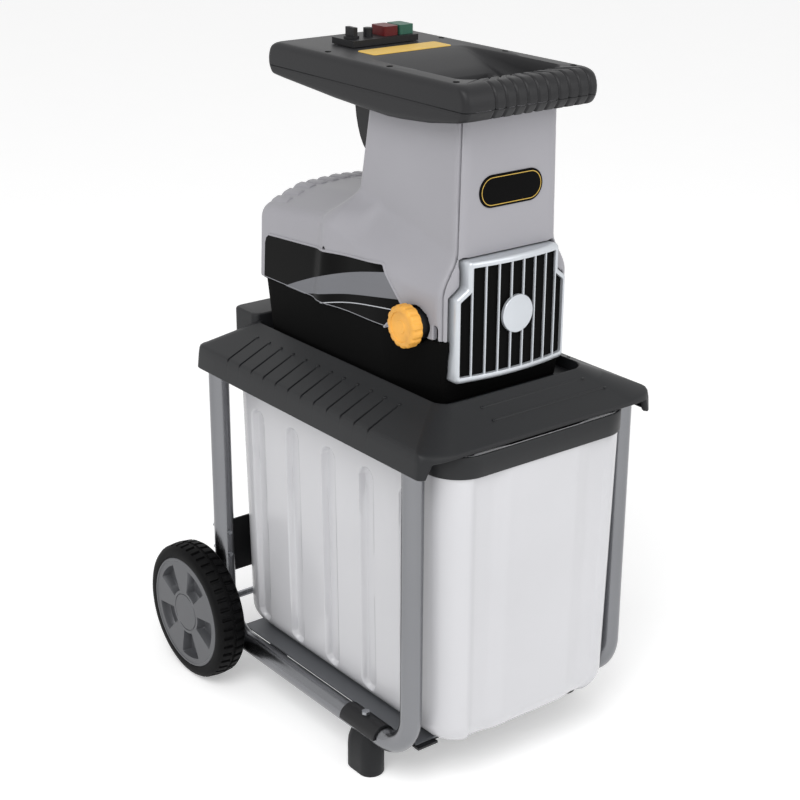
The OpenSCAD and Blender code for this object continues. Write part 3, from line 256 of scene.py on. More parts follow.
def surface_net(field, low, high, step):
    """Quads over the zero surface of a field, then drawn onto it."""
    low = np.asarray(low, dtype=float)
    count = [int(math.ceil((h - l) / step)) + 1 for l, h in zip(low, high)]
    axes = [low[i] + step * np.arange(count[i]) for i in range(3)]
    value = field(*np.meshgrid(*axes, indexing="ij"))
    inside = value < 0
    corners = [(i, j, k) for i in (0, 1) for j in (0, 1) for k in (0, 1)]

    def corner(a, c):
        return a[c[0]:a.shape[0] - 1 + c[0], c[1]:a.shape[1] - 1 + c[1], c[2]:a.shape[2] - 1 + c[2]]

    total = sum(corner(inside, c).astype(np.int8) for c in corners)
    active = (total > 0) & (total < 8)
    cells = np.argwhere(active)
    index = -np.ones(active.shape, dtype=np.int64)
    index[active] = np.arange(len(cells))
    place = np.zeros((len(cells), 3))
    hits = np.zeros(len(cells))
    for a in corners:
        for axis in range(3):
            if a[axis]:
                continue
            b = list(a)
            b[axis] = 1
            va, vb = corner(value, a)[active], corner(value, b)[active]
            cross = (va < 0) != (vb < 0)
            t = np.where(cross, va / np.where(cross, va - vb, 1.0), 0.0)
            pos = np.tile(np.array(a, dtype=float), (len(cells), 1))
            pos[:, axis] += t
            place += pos * cross[:, None]
            hits += cross
    points = low + step * (cells + place / hits[:, None])
    faces = []
    for axis in range(3):
        u, v = (axis + 1) % 3, (axis + 2) % 3
        here, ahead = [slice(None)] * 3, [slice(None)] * 3
        here[axis], ahead[axis] = slice(0, -1), slice(1, None)
        first, second = inside[tuple(here)], inside[tuple(ahead)]
        where = np.argwhere(first != second)
        where = where[(where[:, u] > 0) & (where[:, v] > 0)]
        where = where[(where[:, u] < inside.shape[u] - 1) & (where[:, v] < inside.shape[v] - 1)]
        eu, ev = np.zeros(3, dtype=int), np.zeros(3, dtype=int)
        eu[u], ev[v] = 1, 1
        quad = np.stack([index[tuple((where - s).T)] for s in (eu + ev, ev, 0 * eu, eu)], axis=1)
        back = ~first[tuple(where.T)]
        quad[back] = quad[back][:, ::-1]
        faces.append(quad)
    faces = np.concatenate(faces)
    faces = faces[(faces >= 0).all(axis=1)]
    for _ in range(2):
        e = step * 0.2
        x, y, z = points.T
        slope = np.stack([field(x + e, y, z) - field(x - e, y, z),
                          field(x, y + e, z) - field(x, y - e, z),
                          field(x, y, z + e) - field(x, y, z - e)], axis=1) / (2 * e)
        move = field(x, y, z) / ((slope ** 2).sum(axis=1) + 1e-6)
        points = points - slope * np.clip(move, -step * 0.5, step * 0.5)[:, None]
    return points, faces


def poly_field(points, x, y):
    """Signed distance to a closed polygon in a plane."""
    p = np.asarray(points, dtype=float)
    best = np.full(np.shape(x), 1e18)
    odd = np.zeros(np.shape(x), dtype=bool)
    for i in range(len(p)):
        a, b = p[i - 1], p[i]
        ex, ey = b - a
        wx, wy = x - a[0], y - a[1]
        t = np.clip((wx * ex + wy * ey) / (ex * ex + ey * ey), 0.0, 1.0)
        best = np.minimum(best, (wx - ex * t) ** 2 + (wy - ey * t) ** 2)
        if ey != 0:
            up = (a[1] <= y) != (b[1] <= y)
            odd ^= up & (x < a[0] + (y - a[1]) * ex / ey)
    return np.where(odd, -1.0, 1.0) * np.sqrt(best)


def turned_y(cx, cz, profile, n=64):
    """A turned piece along y: the profile lists radius and y from the back edge to the middle."""
    a = np.linspace(0, 2 * np.pi, n, endpoint=False)
    rings = [np.stack([cx + r * np.cos(a), np.full(n, y), cz + r * np.sin(a)], axis=1) for r, y in profile]
    return loft(rings, cap_first=True, cap_last=True)


# Head

NOSE_END = HEAD_FRONT + NOSE_LENGTH
HEAD_PLAN = round_poly([(-NOSE_HALF, HEAD_FRONT), (NOSE_HALF, HEAD_FRONT), (HUMP_HALF, NOSE_END),
                        (HUMP_HALF, HEAD_REAR), (-HUMP_HALF, HEAD_REAR), (-HUMP_HALF, NOSE_END)],
                       [10, 10, 60, 16, 16, 60], 6)
HUMP_CUT = round_poly([(-HUMP_HALF, 560), (HUMP_HALF, 560), (HUMP_HALF, 694), (60, 716), (0, 719),
                       (-60, 716), (-HUMP_HALF, 694)], [2, 2, 19, 60, 60, 60, 19], 6)


def grille_line(gx, gz, r=5.0):
    """The grille's outline in x and z, grown by gx at the sides and gz at the top and bottom."""
    neck, half = 72.0 + gx, 88.0 + gx
    points = [(-half, 543.5 - gz), (half, 543.5 - gz), (half, 651.0 + gz / 2), (neck, 663.0 + gz / 2),
              (neck, 696.0 + gz), (-neck, 696.0 + gz), (-neck, 663.0 + gz / 2), (-half, 651.0 + gz / 2)]
    return round_poly(points, r, 6)


def hump_rise(y):
    """How far the motor hump's arch climbs towards the tower."""
    return 0.115 * (145.0 - y)


def head_outside(x, y, z):
    """Distance to the outer skin of the grey head: nose, tower and motor hump in one flowing form."""
    drop = HEAD_TOP - z
    along = y - HEAD_FRONT
    t = np.clip(along / (-20.0 - HEAD_FRONT), 0.0, 1.0)
    slim = 77.0 + 0.02 * drop
    wide = NOSE_HALF + (HUMP_HALF - NOSE_HALF) * (1.0 - smax(1.0 - along / NOSE_LENGTH, 0.0 * y, 0.3))
    flare = smoothstep(0.0, 1.0, (z - 652.0 - 48.0 * t * t) / (52.0 + 44.0 * t - 48.0 * t * t))
    half = wide + (slim - wide) * flare
    tower = smax(smax(0.8 * (np.abs(x) - half), -along, 14.0), y + 34.9 - 0.166 * drop, 12.0)
    arch = poly_field(HUMP_CUT, np.abs(x) + 0.5 * smax(-8.0 - y, 0.0 * y, 12.0), z - hump_rise(y))
    rear = y - HEAD_REAR - 0.06 * (700.0 - z)
    hump = smax(arch, smax(rear, -50.0 - y, 10.0), 10.0)
    return smin(tower, hump, 24.0)


WINDOW = grille_line(5.0, 2.0)
SKIRT_WINDOW = grille_line(1.2, 1.2)


def knob_hole(x, y, z):
    """Distance to the round hole for the knob in the left side."""
    return np.maximum(np.hypot(y - KNOB_Y, z - KNOB_Z) - 24.0, x + 70.0)


def head_shell(x, y, z):
    """The grey head as a shell with its grille window, side slots and hole for the knob."""
    d = head_outside(x, y, z)
    shell = np.maximum(np.maximum(d, -d - 5.0), np.maximum(SEAM_Z - z, z - HEAD_TOP))
    shell = np.maximum(shell, -np.maximum(poly_field(WINDOW, x, z), y - HEAD_FRONT - 20.0))
    slot = np.hypot(y + 203.0, np.maximum(z - 614.0, 0.0)) - 3.0
    shell = np.maximum(shell, -np.maximum(slot, 80.0 - np.abs(x)))
    return np.maximum(shell, -knob_hole(x, y, z))


def head_skirt(x, y, z):
    """The black lower housing, tapering down into the deck's well; its near-black material also paints the
    well's shade.
    """
    plan = poly_field(HEAD_PLAN, x, y) + 1.5 + 0.1 * np.clip(SEAM_Z - z, 0.0, 100.0)
    d = np.maximum(np.maximum(plan, -plan - 4.0), np.maximum(512.6 - z, z - SEAM_Z + 0.6))
    d = np.maximum(d, -np.maximum(poly_field(SKIRT_WINDOW, x, z), y - HEAD_FRONT - 30.0))
    return np.maximum(d, -knob_hole(x, y, z))


COVER_Y = HEAD_FRONT + 6.0


def left_side(x, y, z):
    """The left half behind the front cover."""
    return np.maximum(head_shell(x, y, z), np.maximum(COVER_Y + 0.4 - y, x + 0.2))


def right_side(x, y, z):
    """The right half behind the front cover."""
    return np.maximum(head_shell(x, y, z), np.maximum(COVER_Y + 0.4 - y, 0.2 - x))


def front_side(x, y, z):
    """The front cover."""
    return np.maximum(head_shell(x, y, z), y - COVER_Y + 0.4)


STEP = 2.4
piece("housing_left", surface_net(left_side, (-126, HEAD_FRONT - 4, 594), (4, HEAD_REAR + 12, 877), STEP),
      "housing_grey", replaces=("left_housing_shell",))
piece("housing_right", surface_net(right_side, (-4, HEAD_FRONT - 4, 594), (126, HEAD_REAR + 12, 877), STEP),
      "housing_grey", replaces=("right_housing_shell",))
cover = surface_net(front_side, (-126, HEAD_FRONT - 4, 594), (126, HEAD_FRONT + 10, 877), 2.0)
piece("housing_front", cover, "housing_grey", replaces=("front_cover",))
# The lower housing is a real black part; its extra-dark material is painted shade for the deep well around
# it.
skirt = surface_net(head_skirt, (-124, HEAD_FRONT - 4, 508), (124, HEAD_REAR + 5, 601), STEP + 0.2)
piece("head_skirt", skirt, "black_plastic", replaces=("lower_housing",), mat=BLACK_AND_SHADE)


def hump_skin(x, y):
    """Height of the motor hump's arch."""
    return np.interp(np.abs(x), [0, 60, 100, 120], [718.6, 715.6, 701.0, 688.0]) + hump_rise(y)


# Louvre ribs over the motor, side by side across the hump's rear
ribs = []
for k in range(11):
    x0, x1 = -106.0 + 19.0 * k, -91.0 + 19.0 * k
    across = np.array([x0, x0 + 1.5, x0 + 4.0, x1 - 4.0, x1 - 1.5, x1])
    height = np.array([-3.0, 1.6, 3.0, 3.0, 1.6, -3.0])
    rings = []
    for y, share in ((108.0, 0.0), (111.0, 0.8), (114.0, 1.0), (142.0, 1.0), (145.0, 0.8), (148.0, 0.0)):
        z = hump_skin(across, y) + np.minimum(height, height * share - 3.0 * (1.0 - share))
        rings.append(np.stack([across, np.full(6, y), z], axis=1))
    ribs.append(loft(rings, cap_first=True, cap_last=True, flip=True))
piece("motor_louvres", merge(*ribs), "housing_grey")


# Grille

def face_y(x):
    """Place along y of the grille's bowed face."""
    return -235.75 + 10.5 * (x / 88.0) ** 2


def bowed(outline, back):
    """An upright outline on the grille's bowed face, set back by a distance."""
    return upright(outline, face_y(outline[:, 0]) + back)


def subdivide(outline, n):
    """A closed outline with each edge cut in n."""
    ahead = np.roll(outline, -1, axis=0)
    share = (np.arange(n) / n)[None, :, None]
    return (outline[:, None, :] + (ahead - outline)[:, None, :] * share).reshape(-1, 2)


GRILLE_BACK = -207.0
rings = [upright(subdivide(grille_line(0.0, 0.0), 8), GRILLE_BACK)]
for inward, back in ((0.0, 4.0), (0.5, 1.9), (1.5, 0.5), (3.0, 0.0), (4.4, 0.0), (5.0, 0.4), (5.2, 1.4)):
    rings.append(bowed(subdivide(grille_line(-inward, -inward * 8.0 / 5.2, 5.0 - 0.5 * inward), 8), back))
rings.append(bowed(subdivide(grille_line(-5.2, -8.0, 2.4), 8), 9.0))
parts = [loft(rings, flip=True)]
for k in range(8):
    x = 19.09 * (k - 3.5)
    across = x + np.array([-1.1, 1.1, 1.1, 0.7, -0.7, -1.1])
    depth = face_y(x) + np.array([3.2, 3.2, 1.3, 0.6, 0.6, 1.3])
    parts.append(loft([np.stack([across, depth, np.full(6, z)], axis=1) for z in (550.5, 689.0)],
                      cap_first=True, cap_last=True))
piece("grille_silver", merge(*parts), "silver_plastic", replaces=("grille_frame",), angle=35)
# A near-black sheet just behind the slats fills the grille: painted shade for the dark inside of the head.
inside = subdivide(grille_line(-4.0, -6.0, 2.4), 8)
rows = [bowed(inside * [share, 1.0], 5.0) for share in (1.0, 0.75, 0.5, 0.25, 0.0)]
surround = grille_line(9.0, 5.0)
backing = loft([upright(surround, y) for y in (-203.0, -206.0)], cap_first=True, cap_last=True)
piece("grille_back", merge(loft(rows, flip=True), backing), "black_plastic",
      replaces=("grille_insert",), mat=BLACK_AND_SHADE)
piece("grille_boss", turned_y(0.0, 621.0, [(23.4, -231.5), (24.0, -232.2), (24.0, -236.0), (23.6, -236.5),
                                           (22.8, -236.7), (2.0, -236.7)]),
      "silver_plastic", replaces=("grille_disc",))


# Badge: a bare black plate with a thin line inside its edge

def stadium(r):
    """A long round-ended outline in x and z, grown to a radius."""
    return np.concatenate([arc(30.0, 774.0, r, -90, 90, 24), arc(-30.0, 774.0, r, 90, 270, 24)])


plate_section = [(20.0, 1.0), (20.0, -1.0), (19.6, -1.5), (19.0, -1.7), (2.0, -1.7)]
rings = [upright(stadium(r), HEAD_FRONT + y) for r, y in plate_section]
piece("badge", loft(rings, cap_last=True, flip=True), "black_plastic",
      replaces=("badge_plate",), mat=BLACK_AND_SHADE)
line_section = [(17.3, -1.5), (17.2, -1.9), (16.3, -1.9), (16.2, -1.5)]
piece("badge_line", loft([upright(stadium(r), HEAD_FRONT + y) for r, y in line_section], flip=True),
      "black_plastic", mat=GOLD_LINE)


# Side films

def film_material():
    """Black film with a grey sweep and thin pale lines that run along the machine."""
    mat = node_material("side_film", "080808", 0.4, vary=0.06, spec=0.05)
    tree = mat.node_tree
    bsdf = next(n for n in tree.nodes if n.type == "BSDF_PRINCIPLED")
    coord = next(n for n in tree.nodes if n.type == "TEX_COORD")
    split = tree.nodes.new("ShaderNodeSeparateXYZ")
    tree.links.new(coord.outputs["Object"], split.inputs[0])

    def calc(op, a, b):
        n = tree.nodes.new("ShaderNodeMath")
        n.operation = op
        for i, v in enumerate((a, b)):
            if isinstance(v, float):
                n.inputs[i].default_value = v
            else:
                tree.links.new(v, n.inputs[i])
        return n.outputs[0]

    y, z = split.outputs["Y"], split.outputs["Z"]

    def above(points):
        """How far a point lies above the curve through three points."""
        ys, zs = np.array(points, dtype=float).T * MM
        square, slope, start = [float(c) for c in np.polyfit(ys, zs, 2)]
        curve = calc("ADD", calc("MULTIPLY", calc("ADD", calc("MULTIPLY", y, square), slope), y), start)
        return calc("SUBTRACT", z, curve)

    def within(value, low, high):
        return calc("MULTIPLY", calc("GREATER_THAN", value, low), calc("LESS_THAN", value, high))

    upper = above([(92, 597), (-2.5, 635), (-126, 668)])
    lower = above([(46, 597.5), (-43, 620), (-156, 639)])
    thin = above([(6.5, 596.3), (-75, 615), (-151, 623.5)])
    sweep = calc("MULTIPLY", calc("LESS_THAN", upper, 0.0), calc("GREATER_THAN", lower, 0.0))
    colour = bsdf.inputs["Base Color"].links[0].from_socket
    line, foot = within(thin, -0.0006, 0.0006), within(z, 0.5985, 0.5995)
    for mask, code in ((sweep, "6F7074"), (line, "B4B6BA"), (foot, "85868A")):
        mix = tree.nodes.new("ShaderNodeMix")
        mix.data_type = "RGBA"
        tree.links.new(mask, mix.inputs["Factor"])
        tree.links.new(colour, mix.inputs["A"])
        mix.inputs["B"].default_value = srgb(code) + [1.0]
        colour = mix.outputs["Result"]
    tree.links.new(colour, bsdf.inputs["Base Color"])
    return mat


def side_skin(y, z):
    """Half-width of the grey head's side."""
    near, far = np.full(np.shape(y), 60.0), np.full(np.shape(y), 128.0)
    for _ in range(24):
        mid = (near + far) / 2
        inside = head_outside(-mid, y, z) < 0
        near, far = np.where(inside, mid, near), np.where(inside, far, mid)
    return (near + far) / 2


def path(points, n):
    """n points spaced evenly along a broken line."""
    p = np.asarray(points, dtype=float)
    run = np.concatenate([[0.0], np.cumsum(np.linalg.norm(np.diff(p, axis=0), axis=1))])
    at = np.linspace(0.0, run[-1], n)
    return np.stack([np.interp(at, run, p[:, 0]), np.interp(at, run, p[:, 1])], axis=1)


ACROSS, UP = 121, 41
bottom = path([(141, 597.6), (-121, 597.6)], ACROSS)
top = path([(128.5, 658.4), (-116, 675)], ACROSS)
rear = path([(141, 597.6), (137.5, 646), (134.5, 654), (128.5, 658.4)], UP)
tip = path([(-121, 597.6), (-149.5, 626.5), (-151.6, 629), (-150.3, 632), (-116, 675)], UP)
u, v = np.linspace(0, 1, ACROSS)[None, :, None], np.linspace(0, 1, UP)[:, None, None]
film = (1 - v) * bottom[None] + v * top[None] + (1 - u) * rear[:, None] + u * tip[:, None]
film -= (1 - u) * (1 - v) * bottom[0] + u * (1 - v) * bottom[-1]
film -= (1 - u) * v * top[0] + u * v * top[-1]
film_x = side_skin(film[..., 0], film[..., 1])
edge = path([(128.5, 659.5), (-114.5, 676.2), (-117.5, 675.2), (-152.5, 631), (-153.3, 628.5),
             (-122, 596.8)], 270)
turn = np.gradient(edge, axis=0)
turn /= np.linalg.norm(turn, axis=1)[:, None]
normal = np.stack([turn[:, 1], -turn[:, 0]], axis=1)
FILM = film_material()
for side, sign in (("left", -1), ("right", 1)):
    grid = np.stack([sign * (film_x + 0.8), film[..., 0], film[..., 1]], axis=-1)
    piece("film_" + side, sheet(grid, flip=sign < 0), "black_plastic", replaces=(side + "_decal",), mat=FILM)
    rows = []
    for off, lift in ((-1.8, -2.5), (-1.5, 0.7), (-0.6, 1.3), (0.6, 1.3), (1.5, 0.7), (1.8, -2.5)):
        p = edge + normal * off
        skin = side_skin(p[:, 0], np.maximum(p[:, 1], SEAM_Z + 0.5))
        rows.append(np.stack([sign * (skin + lift), p[:, 0], p[:, 1]], axis=1))
    piece("film_bead_" + side, sheet(rows, flip=sign > 0), "housing_grey")


# Hopper tray

N_FRONT, N_SIDE = 240, 60
GROOVES = [-59.0 + 16.3 * k for k in range(10)]
PARTING = 881.0


def groove(x):
    """Depth share of the tray's front grooves at x."""
    return np.max([np.exp(-((x - g) / 1.7) ** 2) for g in GROOVES], axis=0)


def tray_low(y):
    """Height of the tray's lower edge, which hangs deepest around the tower."""
    return np.interp(y, [-254.25, -245.25, -190.25, -136.25, -108.25, -33.25, 8.75, 118.75, 149.75],
                     [869, 867, 859, 855, 854, 857, 859, 867, 870])


def tray_ring(turn, side_in, z=None, deep=2.0):
    """One ring of the tray: the front and rear follow a half-round nose at the given turn in degrees."""
    c, s = math.cos(math.radians(turn)), math.sin(math.radians(turn))
    nose_in = 20.0 * (1.0 - c)
    o = rect_ring(-TRAY_HALF + side_in, TRAY_HALF - side_in, TRAY_FRONT + nose_in, TRAY_REAR - nose_in,
                  9.0 + 0.3 * side_in, N_FRONT, N_SIDE)
    cut = deep * groove(o[:, 0]) * (o[:, 1] < TRAY_FRONT + nose_in + 0.5)
    level = 888.0 + 23.0 * s if z is None else z
    return np.stack([o[:, 0], o[:, 1] + cut * c, np.broadcast_to(level, (len(o),)) - cut * s], axis=1)


plan_y = rect_ring(-TRAY_HALF, TRAY_HALF, TRAY_FRONT, TRAY_REAR, 9.0, N_FRONT, N_SIDE)[:, 1]
low = tray_low(plan_y)
rings = [tray_ring(-62.0, 30.0, low + 1.5, 0.0)]
for share, side_in in ((0.0, 4.0), (0.06, 1.6), (0.16, 0.4), (0.3, 0.0), (0.55, 0.0), (0.8, 0.0),
                       (0.96, 0.0)):
    rings.append(tray_ring(-55.5 + 37.0 * share, side_in, low + (PARTING - 0.4 - low) * share))
rings += [tray_ring(-20.0, 0.7, PARTING - 0.3), tray_ring(-24.0, 8.0, PARTING - 0.2)]
piece("tray_base", loft(rings), "black_plastic", replaces=("hopper_base",), angle=50)


def floor_z(y):
    """Height of the recess floor, which rises towards the switches."""
    return 880.0 + 31.4 * smoothstep(-166.0, -20.0, y)


def recess(d):
    """The outline of the tray's recess, moved inward by d."""
    return rect_ring(-80.0 + d, 80.0 - d, -222.0 + d, -24.0 - d, 20.0 - 0.5 * d, N_FRONT, N_SIDE)


rings = [tray_ring(-24.0, 8.0, PARTING + 0.3), tray_ring(-20.0, 0.7, PARTING + 0.4), tray_ring(-17.0, 0.0)]
for turn in (-8.0, 6.0, 20.0, 33.0, 41.0, 48.0, 55.0, 62.0, 69.0, 76.0, 83.0, 90.0):
    rise = max(0.0, (23.0 * math.sin(math.radians(turn)) - 15.0) / 8.05)
    rings.append(tray_ring(turn, 7.0 * (1.0 - math.sqrt(max(0.0, 1.0 - rise * rise)))))
for d, share in ((0.0, 0.0), (1.0, 0.04), (2.4, 0.15), (4.0, 0.45), (6.0, 0.8), (9.0, 0.95), (13.0, 1.0)):
    o = recess(d)
    z = 911.4 - share * (911.4 - floor_z(o[:, 1]))
    cut = 2.0 * groove(o[:, 0]) * (o[:, 1] < -220.0) * (d < 3.0)
    rings.append(flat(o, z - cut))
mouth = rect_ring(-60, 60, -204.25, -112.25, 12, N_FRONT, N_SIDE)
for share in (0.35, 0.7, 0.97):
    o = recess(13.0) + (mouth - recess(13.0)) * share
    rings.append(flat(o, floor_z(o[:, 1])))
rings += [flat(mouth, floor_z(mouth[:, 1]) - 1.5), flat(mouth, 868.0)]
piece("tray_top", loft(rings), "black_plastic", replaces=("hopper_tray",), angle=50)
rings = [flat(rect_ring(-62 + d, 62 - d, -27 + d, 9 - d, 4, 30, 10), z)
         for d, z in ((0, 909), (0, 911.9), (0.4, 912.3), (2.0, 912.4))]
piece("tray_strip", loft(rings, cap_last=True), "black_plastic", mat=PLAIN_STRIP)
# The screw holes are not cut: each is a small raised near-black disc, painted shade for the hole's dark
# inside.
turn = np.linspace(0, 2 * np.pi, 24, endpoint=False)
holes = []
for y in (-220.0, -96.0, 30.0):
    for x in (-91.0, 91.0):
        rings = []
        for r, z in ((4.2, 910.5), (4.0, 911.5), (3.2, 911.6), (1.0, 911.5)):
            rings.append(np.stack([x + r * np.cos(turn), y + r * np.sin(turn), np.full(24, z)], axis=1))
        holes.append(loft(rings, cap_last=True))
piece("tray_screw_hole_shade", merge(*holes), "black_plastic", mat=BLACK_AND_SHADE)


# Deck

GROOVE_Y = [-181.75 + 28.5 * k for k in range(12)]
side_y = [-272.0, -258.0, -236.0, -210.0]
for gy in GROOVE_Y:
    side_y += [gy - 2.4, gy - 1.8, gy - 1.2, gy + 1.2, gy + 1.8, gy + 2.4]
side_y = np.array(side_y + [146.0, 158.0])
in_groove = np.array([any(abs(y - g) < 1.3 for g in GROOVE_Y) for y in side_y])
N_EDGE, N_TURN = 40, 14


def deck_ring(x, z, front, front_z, rear, rx, ry, depth=0.0, hook=False):
    """One closed ring of the deck, counter-clockwise from the middle of the front."""
    start = [((x - rx) * k / N_EDGE, front, front_z) for k in range(N_EDGE)]
    corner = []
    for k in range(N_TURN):
        share = k / (N_TURN - 1.0)
        a = math.pi / 2 * share
        mix = float(smoothstep(0.44, 0.64, share)) if hook else share
        height = front_z + (z - front_z) * mix
        corner.append((x - rx + rx * math.sin(a), front + ry - ry * math.cos(a), height))
    first, last = front + ry, rear - 12.0
    ends = [max(side_y[0], first + 1.0), side_y[3], min(side_y[-2], last - 2.0), min(158.0, last - 1.0)]
    places = np.interp(side_y, [side_y[0], side_y[3], side_y[-2], side_y[-1]], ends)
    side = [(x, y, z - depth * g) for y, g in zip(places, in_groove)]
    quarter = np.linspace(0, math.pi / 2, 8)
    back = [(x - 12.0 + 12.0 * math.cos(a), last + 12.0 * math.sin(a), z) for a in quarter]
    end = [((x - 12.0) * (1.0 - (k + 1) / 20.0), rear, z) for k in range(20)]
    half = start + corner + side + back + end
    other = [(-px, py, pz) for px, py, pz in reversed(half[1:-1])]
    return np.array(half + other)


DEEP = 2.6
deck = [deck_ring(187.5, 466.0, -288.0, 485.6, 208.5, 44, 16, hook=True),
        deck_ring(188.5, 464.0, -290.5, 484.0, 210.5, 44, 16, hook=True),
        deck_ring(191.3, 464.0, -294.4, 483.6, 213.0, 44, 16, hook=True),
        deck_ring(191.9, 465.0, -295.1, 484.3, 213.7, 44, 16, hook=True),
        deck_ring(190.2, 484.0, -295.0, 486.4, 213.0, 44, 16, hook=True),
        deck_ring(189.0, 492.8, -294.6, 488.0, 212.2, 44, 17, DEEP * 0.4),
        deck_ring(188.2, 495.4, -293.6, 489.2, 211.4, 44, 18, DEEP),
        deck_ring(186.4, 497.0, -292.0, 490.2, 209.8, 44, 19, DEEP),
        deck_ring(184.0, 498.1, -289.6, 491.6, 207.4, 43, 20, DEEP),
        deck_ring(143.8, 516.3, -256.0, 513.6, 182.0, 30, 20, DEEP),
        deck_ring(142.4, 516.9, -255.0, 514.4, 181.2, 29, 20),
        deck_ring(121.5, 526.4, -239.6, 525.8, 168.5, 21, 20),
        deck_ring(120.3, 527.3, -238.4, 526.9, 167.6, 20, 20),
        deck_ring(119.4, 527.6, -237.2, 527.2, 166.8, 20, 20),
        deck_ring(118.5, 527.0, -236.2, 526.6, 166.0, 20, 20),
        deck_ring(118.1, 525.0, -235.7, 524.6, 165.4, 20, 20),
        deck_ring(117.7, 512.8, -235.3, 512.8, 165.0, 20, 20),
        deck_ring(70.0, 512.6, -190.0, 512.6, 120.0, 20, 20)]


def deck_z(x, y):
    """Height of the deck's side and front slopes."""
    return np.minimum(498.1 + (184.0 - np.abs(x)) * 0.4527, 490.2 + (y + 292.0) * 0.655)


def dome(x, y, r, h):
    """A small button on the deck."""
    a = np.linspace(0, 2 * np.pi, 16, endpoint=False)
    z = deck_z(x, y)
    return loft([np.stack([x + q * np.cos(a), y + q * np.sin(a), np.full(16, z + dz)], axis=1)
                 for q, dz in ((r, -2.5), (r, h * 0.4), (r * 0.8, h * 0.85), (r * 0.35, h))], cap_last=True)


def rib(x0, x1, y, half, h):
    """A low rounded rib across the deck's front slope."""
    rings = []
    for x, f in ((x0, 0.3), (x0 + 2.0, 1.0), (x1 - 2.0, 1.0), (x1, 0.3)):
        rings.append([(x, y + half * u * f, deck_z(x, y + half * u * f) + v)
                      for u, v in ((-1, -1.5), (-1, h * 0.5), (-0.5, h), (0.5, h), (1, h * 0.5), (1, -1.5))])
    return loft(rings, cap_first=True, cap_last=True)


parts = [loft(deck)]
rings = [flat(rect_ring(-122 + d, 122 - d, 165.75 + d, 219.5 - d, 9, 30, 12), z)
         for d, z in ((0, 498), (0, 533.5), (0.6, 535.4), (2.2, 536.7), (5, 537.0))]
parts.append(loft(rings, cap_last=True))
for gy in GROOVE_Y:
    parts += [dome(-140.5, gy, 2.4, 1.5), dome(140.5, gy, 2.4, 1.5)]
for y, x0, x1 in ((-250.25, -67.0, 101.0), (-268.25, -63.0, 123.0)):
    parts += [rib(x0, x1, y, 1.1, 1.0), dome(x0, y, 2.4, 1.6), dome(x1, y, 2.4, 1.6)]
piece("deck_top", merge(*parts), "dark_grey_plastic", replaces=("deck",), angle=30)


# Collection box

BOX_FRONT, BOX_REAR, BOX_LOW, BOX_TOP, BOX_EDGE = -296.25, 191.75, 70.0, 481.0, 35.0
FLUTES = [-206.25 + 82.5 * k for k in range(5)]
FLUTE_LOW, FLUTE_TOP, FLUTE_DEPTH = 106.0, 402.0, 8.0


def box_ring(z, d):
    """The box's outline at a height, moved inward by d, with flutes in its sides and front."""
    share = (z - BOX_LOW) / (BOX_TOP - BOX_LOW)
    below = max(0.0, BOX_EDGE - (z - BOX_LOW))
    tuck = BOX_EDGE - math.sqrt(max(0.0, BOX_EDGE ** 2 - below ** 2)) + d
    half = 144.0 + 6.0 * share - tuck
    front, back = BOX_FRONT + 6.0 * (1.0 - share) + tuck, BOX_REAR - 6.0 * (1.0 - share) - tuck
    x, y = rect_ring(-half, half, front, back, max(10.0, 45.0 - 0.6 * tuck), 72, 220, 14).T
    outside = max(0.0, z - FLUTE_TOP, FLUTE_LOW - z)
    depth = np.max([smoothstep(15.0, 11.0, np.hypot(y - f, outside)) for f in FLUTES], axis=0)
    dented_x = np.where(np.abs(x) > half - 1.0, x - np.sign(x) * FLUTE_DEPTH * depth, x)
    dented_y = np.where(y < front + 1.0, y + 5.0 * np.clip((np.abs(x) - 56.0) / 24.0, 0.0, 1.0), y)
    return np.stack([dented_x, dented_y, np.full(len(x), z)], axis=1)


levels = [70.0, 70.4, 71.5, 73.5, 76.5, 80.5, 85.5] + list(np.arange(88.0, 110.0, 1.5)) + [114.0, 122.0]
levels += list(np.linspace(134.0, 398.0, 18)) + list(np.arange(401.0, 420.0, 1.5))
levels += [430.0, 445.0, 465.0, 480.6]
shell = [box_ring(z, 0.0) for z in levels] + [box_ring(max(z, 72.8), 2.8) for z in reversed(levels)]
piece("box_shell", loft(shell, cap_first=True, cap_last=True), "box_clear", body="box",
      replaces=("collection_box",), angle=60)
rings = []
for d, z in ((0.3, 452.0), (-1.9, 452.2), (-2.4, 453.2), (-2.45, 479.5), (-1.8, 480.7), (0.3, 481.0)):
    rings.append(flat(rect_ring(-150 + d, 150 - d, BOX_FRONT + d, BOX_REAR - d, 45 - d, 72, 150, 14), z))
piece("box_band", loft(rings), "dark_grey_plastic", body="box", replaces=("box_rim",), angle=40)


# Wheels

AXLE_Y, AXLE_Z = 198.75, 100.0
BLOCKS = 44
SECTION = [(-0.98, 81.5), (-1.0, 84.0), (-0.99, 89.0), (-0.94, 93.0), (-0.86, 95.8), (-0.76, 97.3),
           (-0.72, 98.0), (-0.68, 98.6), (-0.12, 99.95), (-0.08, 99.95)]
SECTION += [(-u, r) for u, r in reversed(SECTION)]


def tread_radius(u, r, share):
    """Radius of the tyre at a place across it, with staggered blocks and a middle groove."""
    f = (share - (0.0 if u < 0 else 0.5)) % 1.0
    sunk = 3.0 if 0.06 < f < 0.36 and 0.1 < abs(u) < 0.73 else 0.0
    return r - sunk - (2.2 if abs(u) < 0.09 else 0.0)


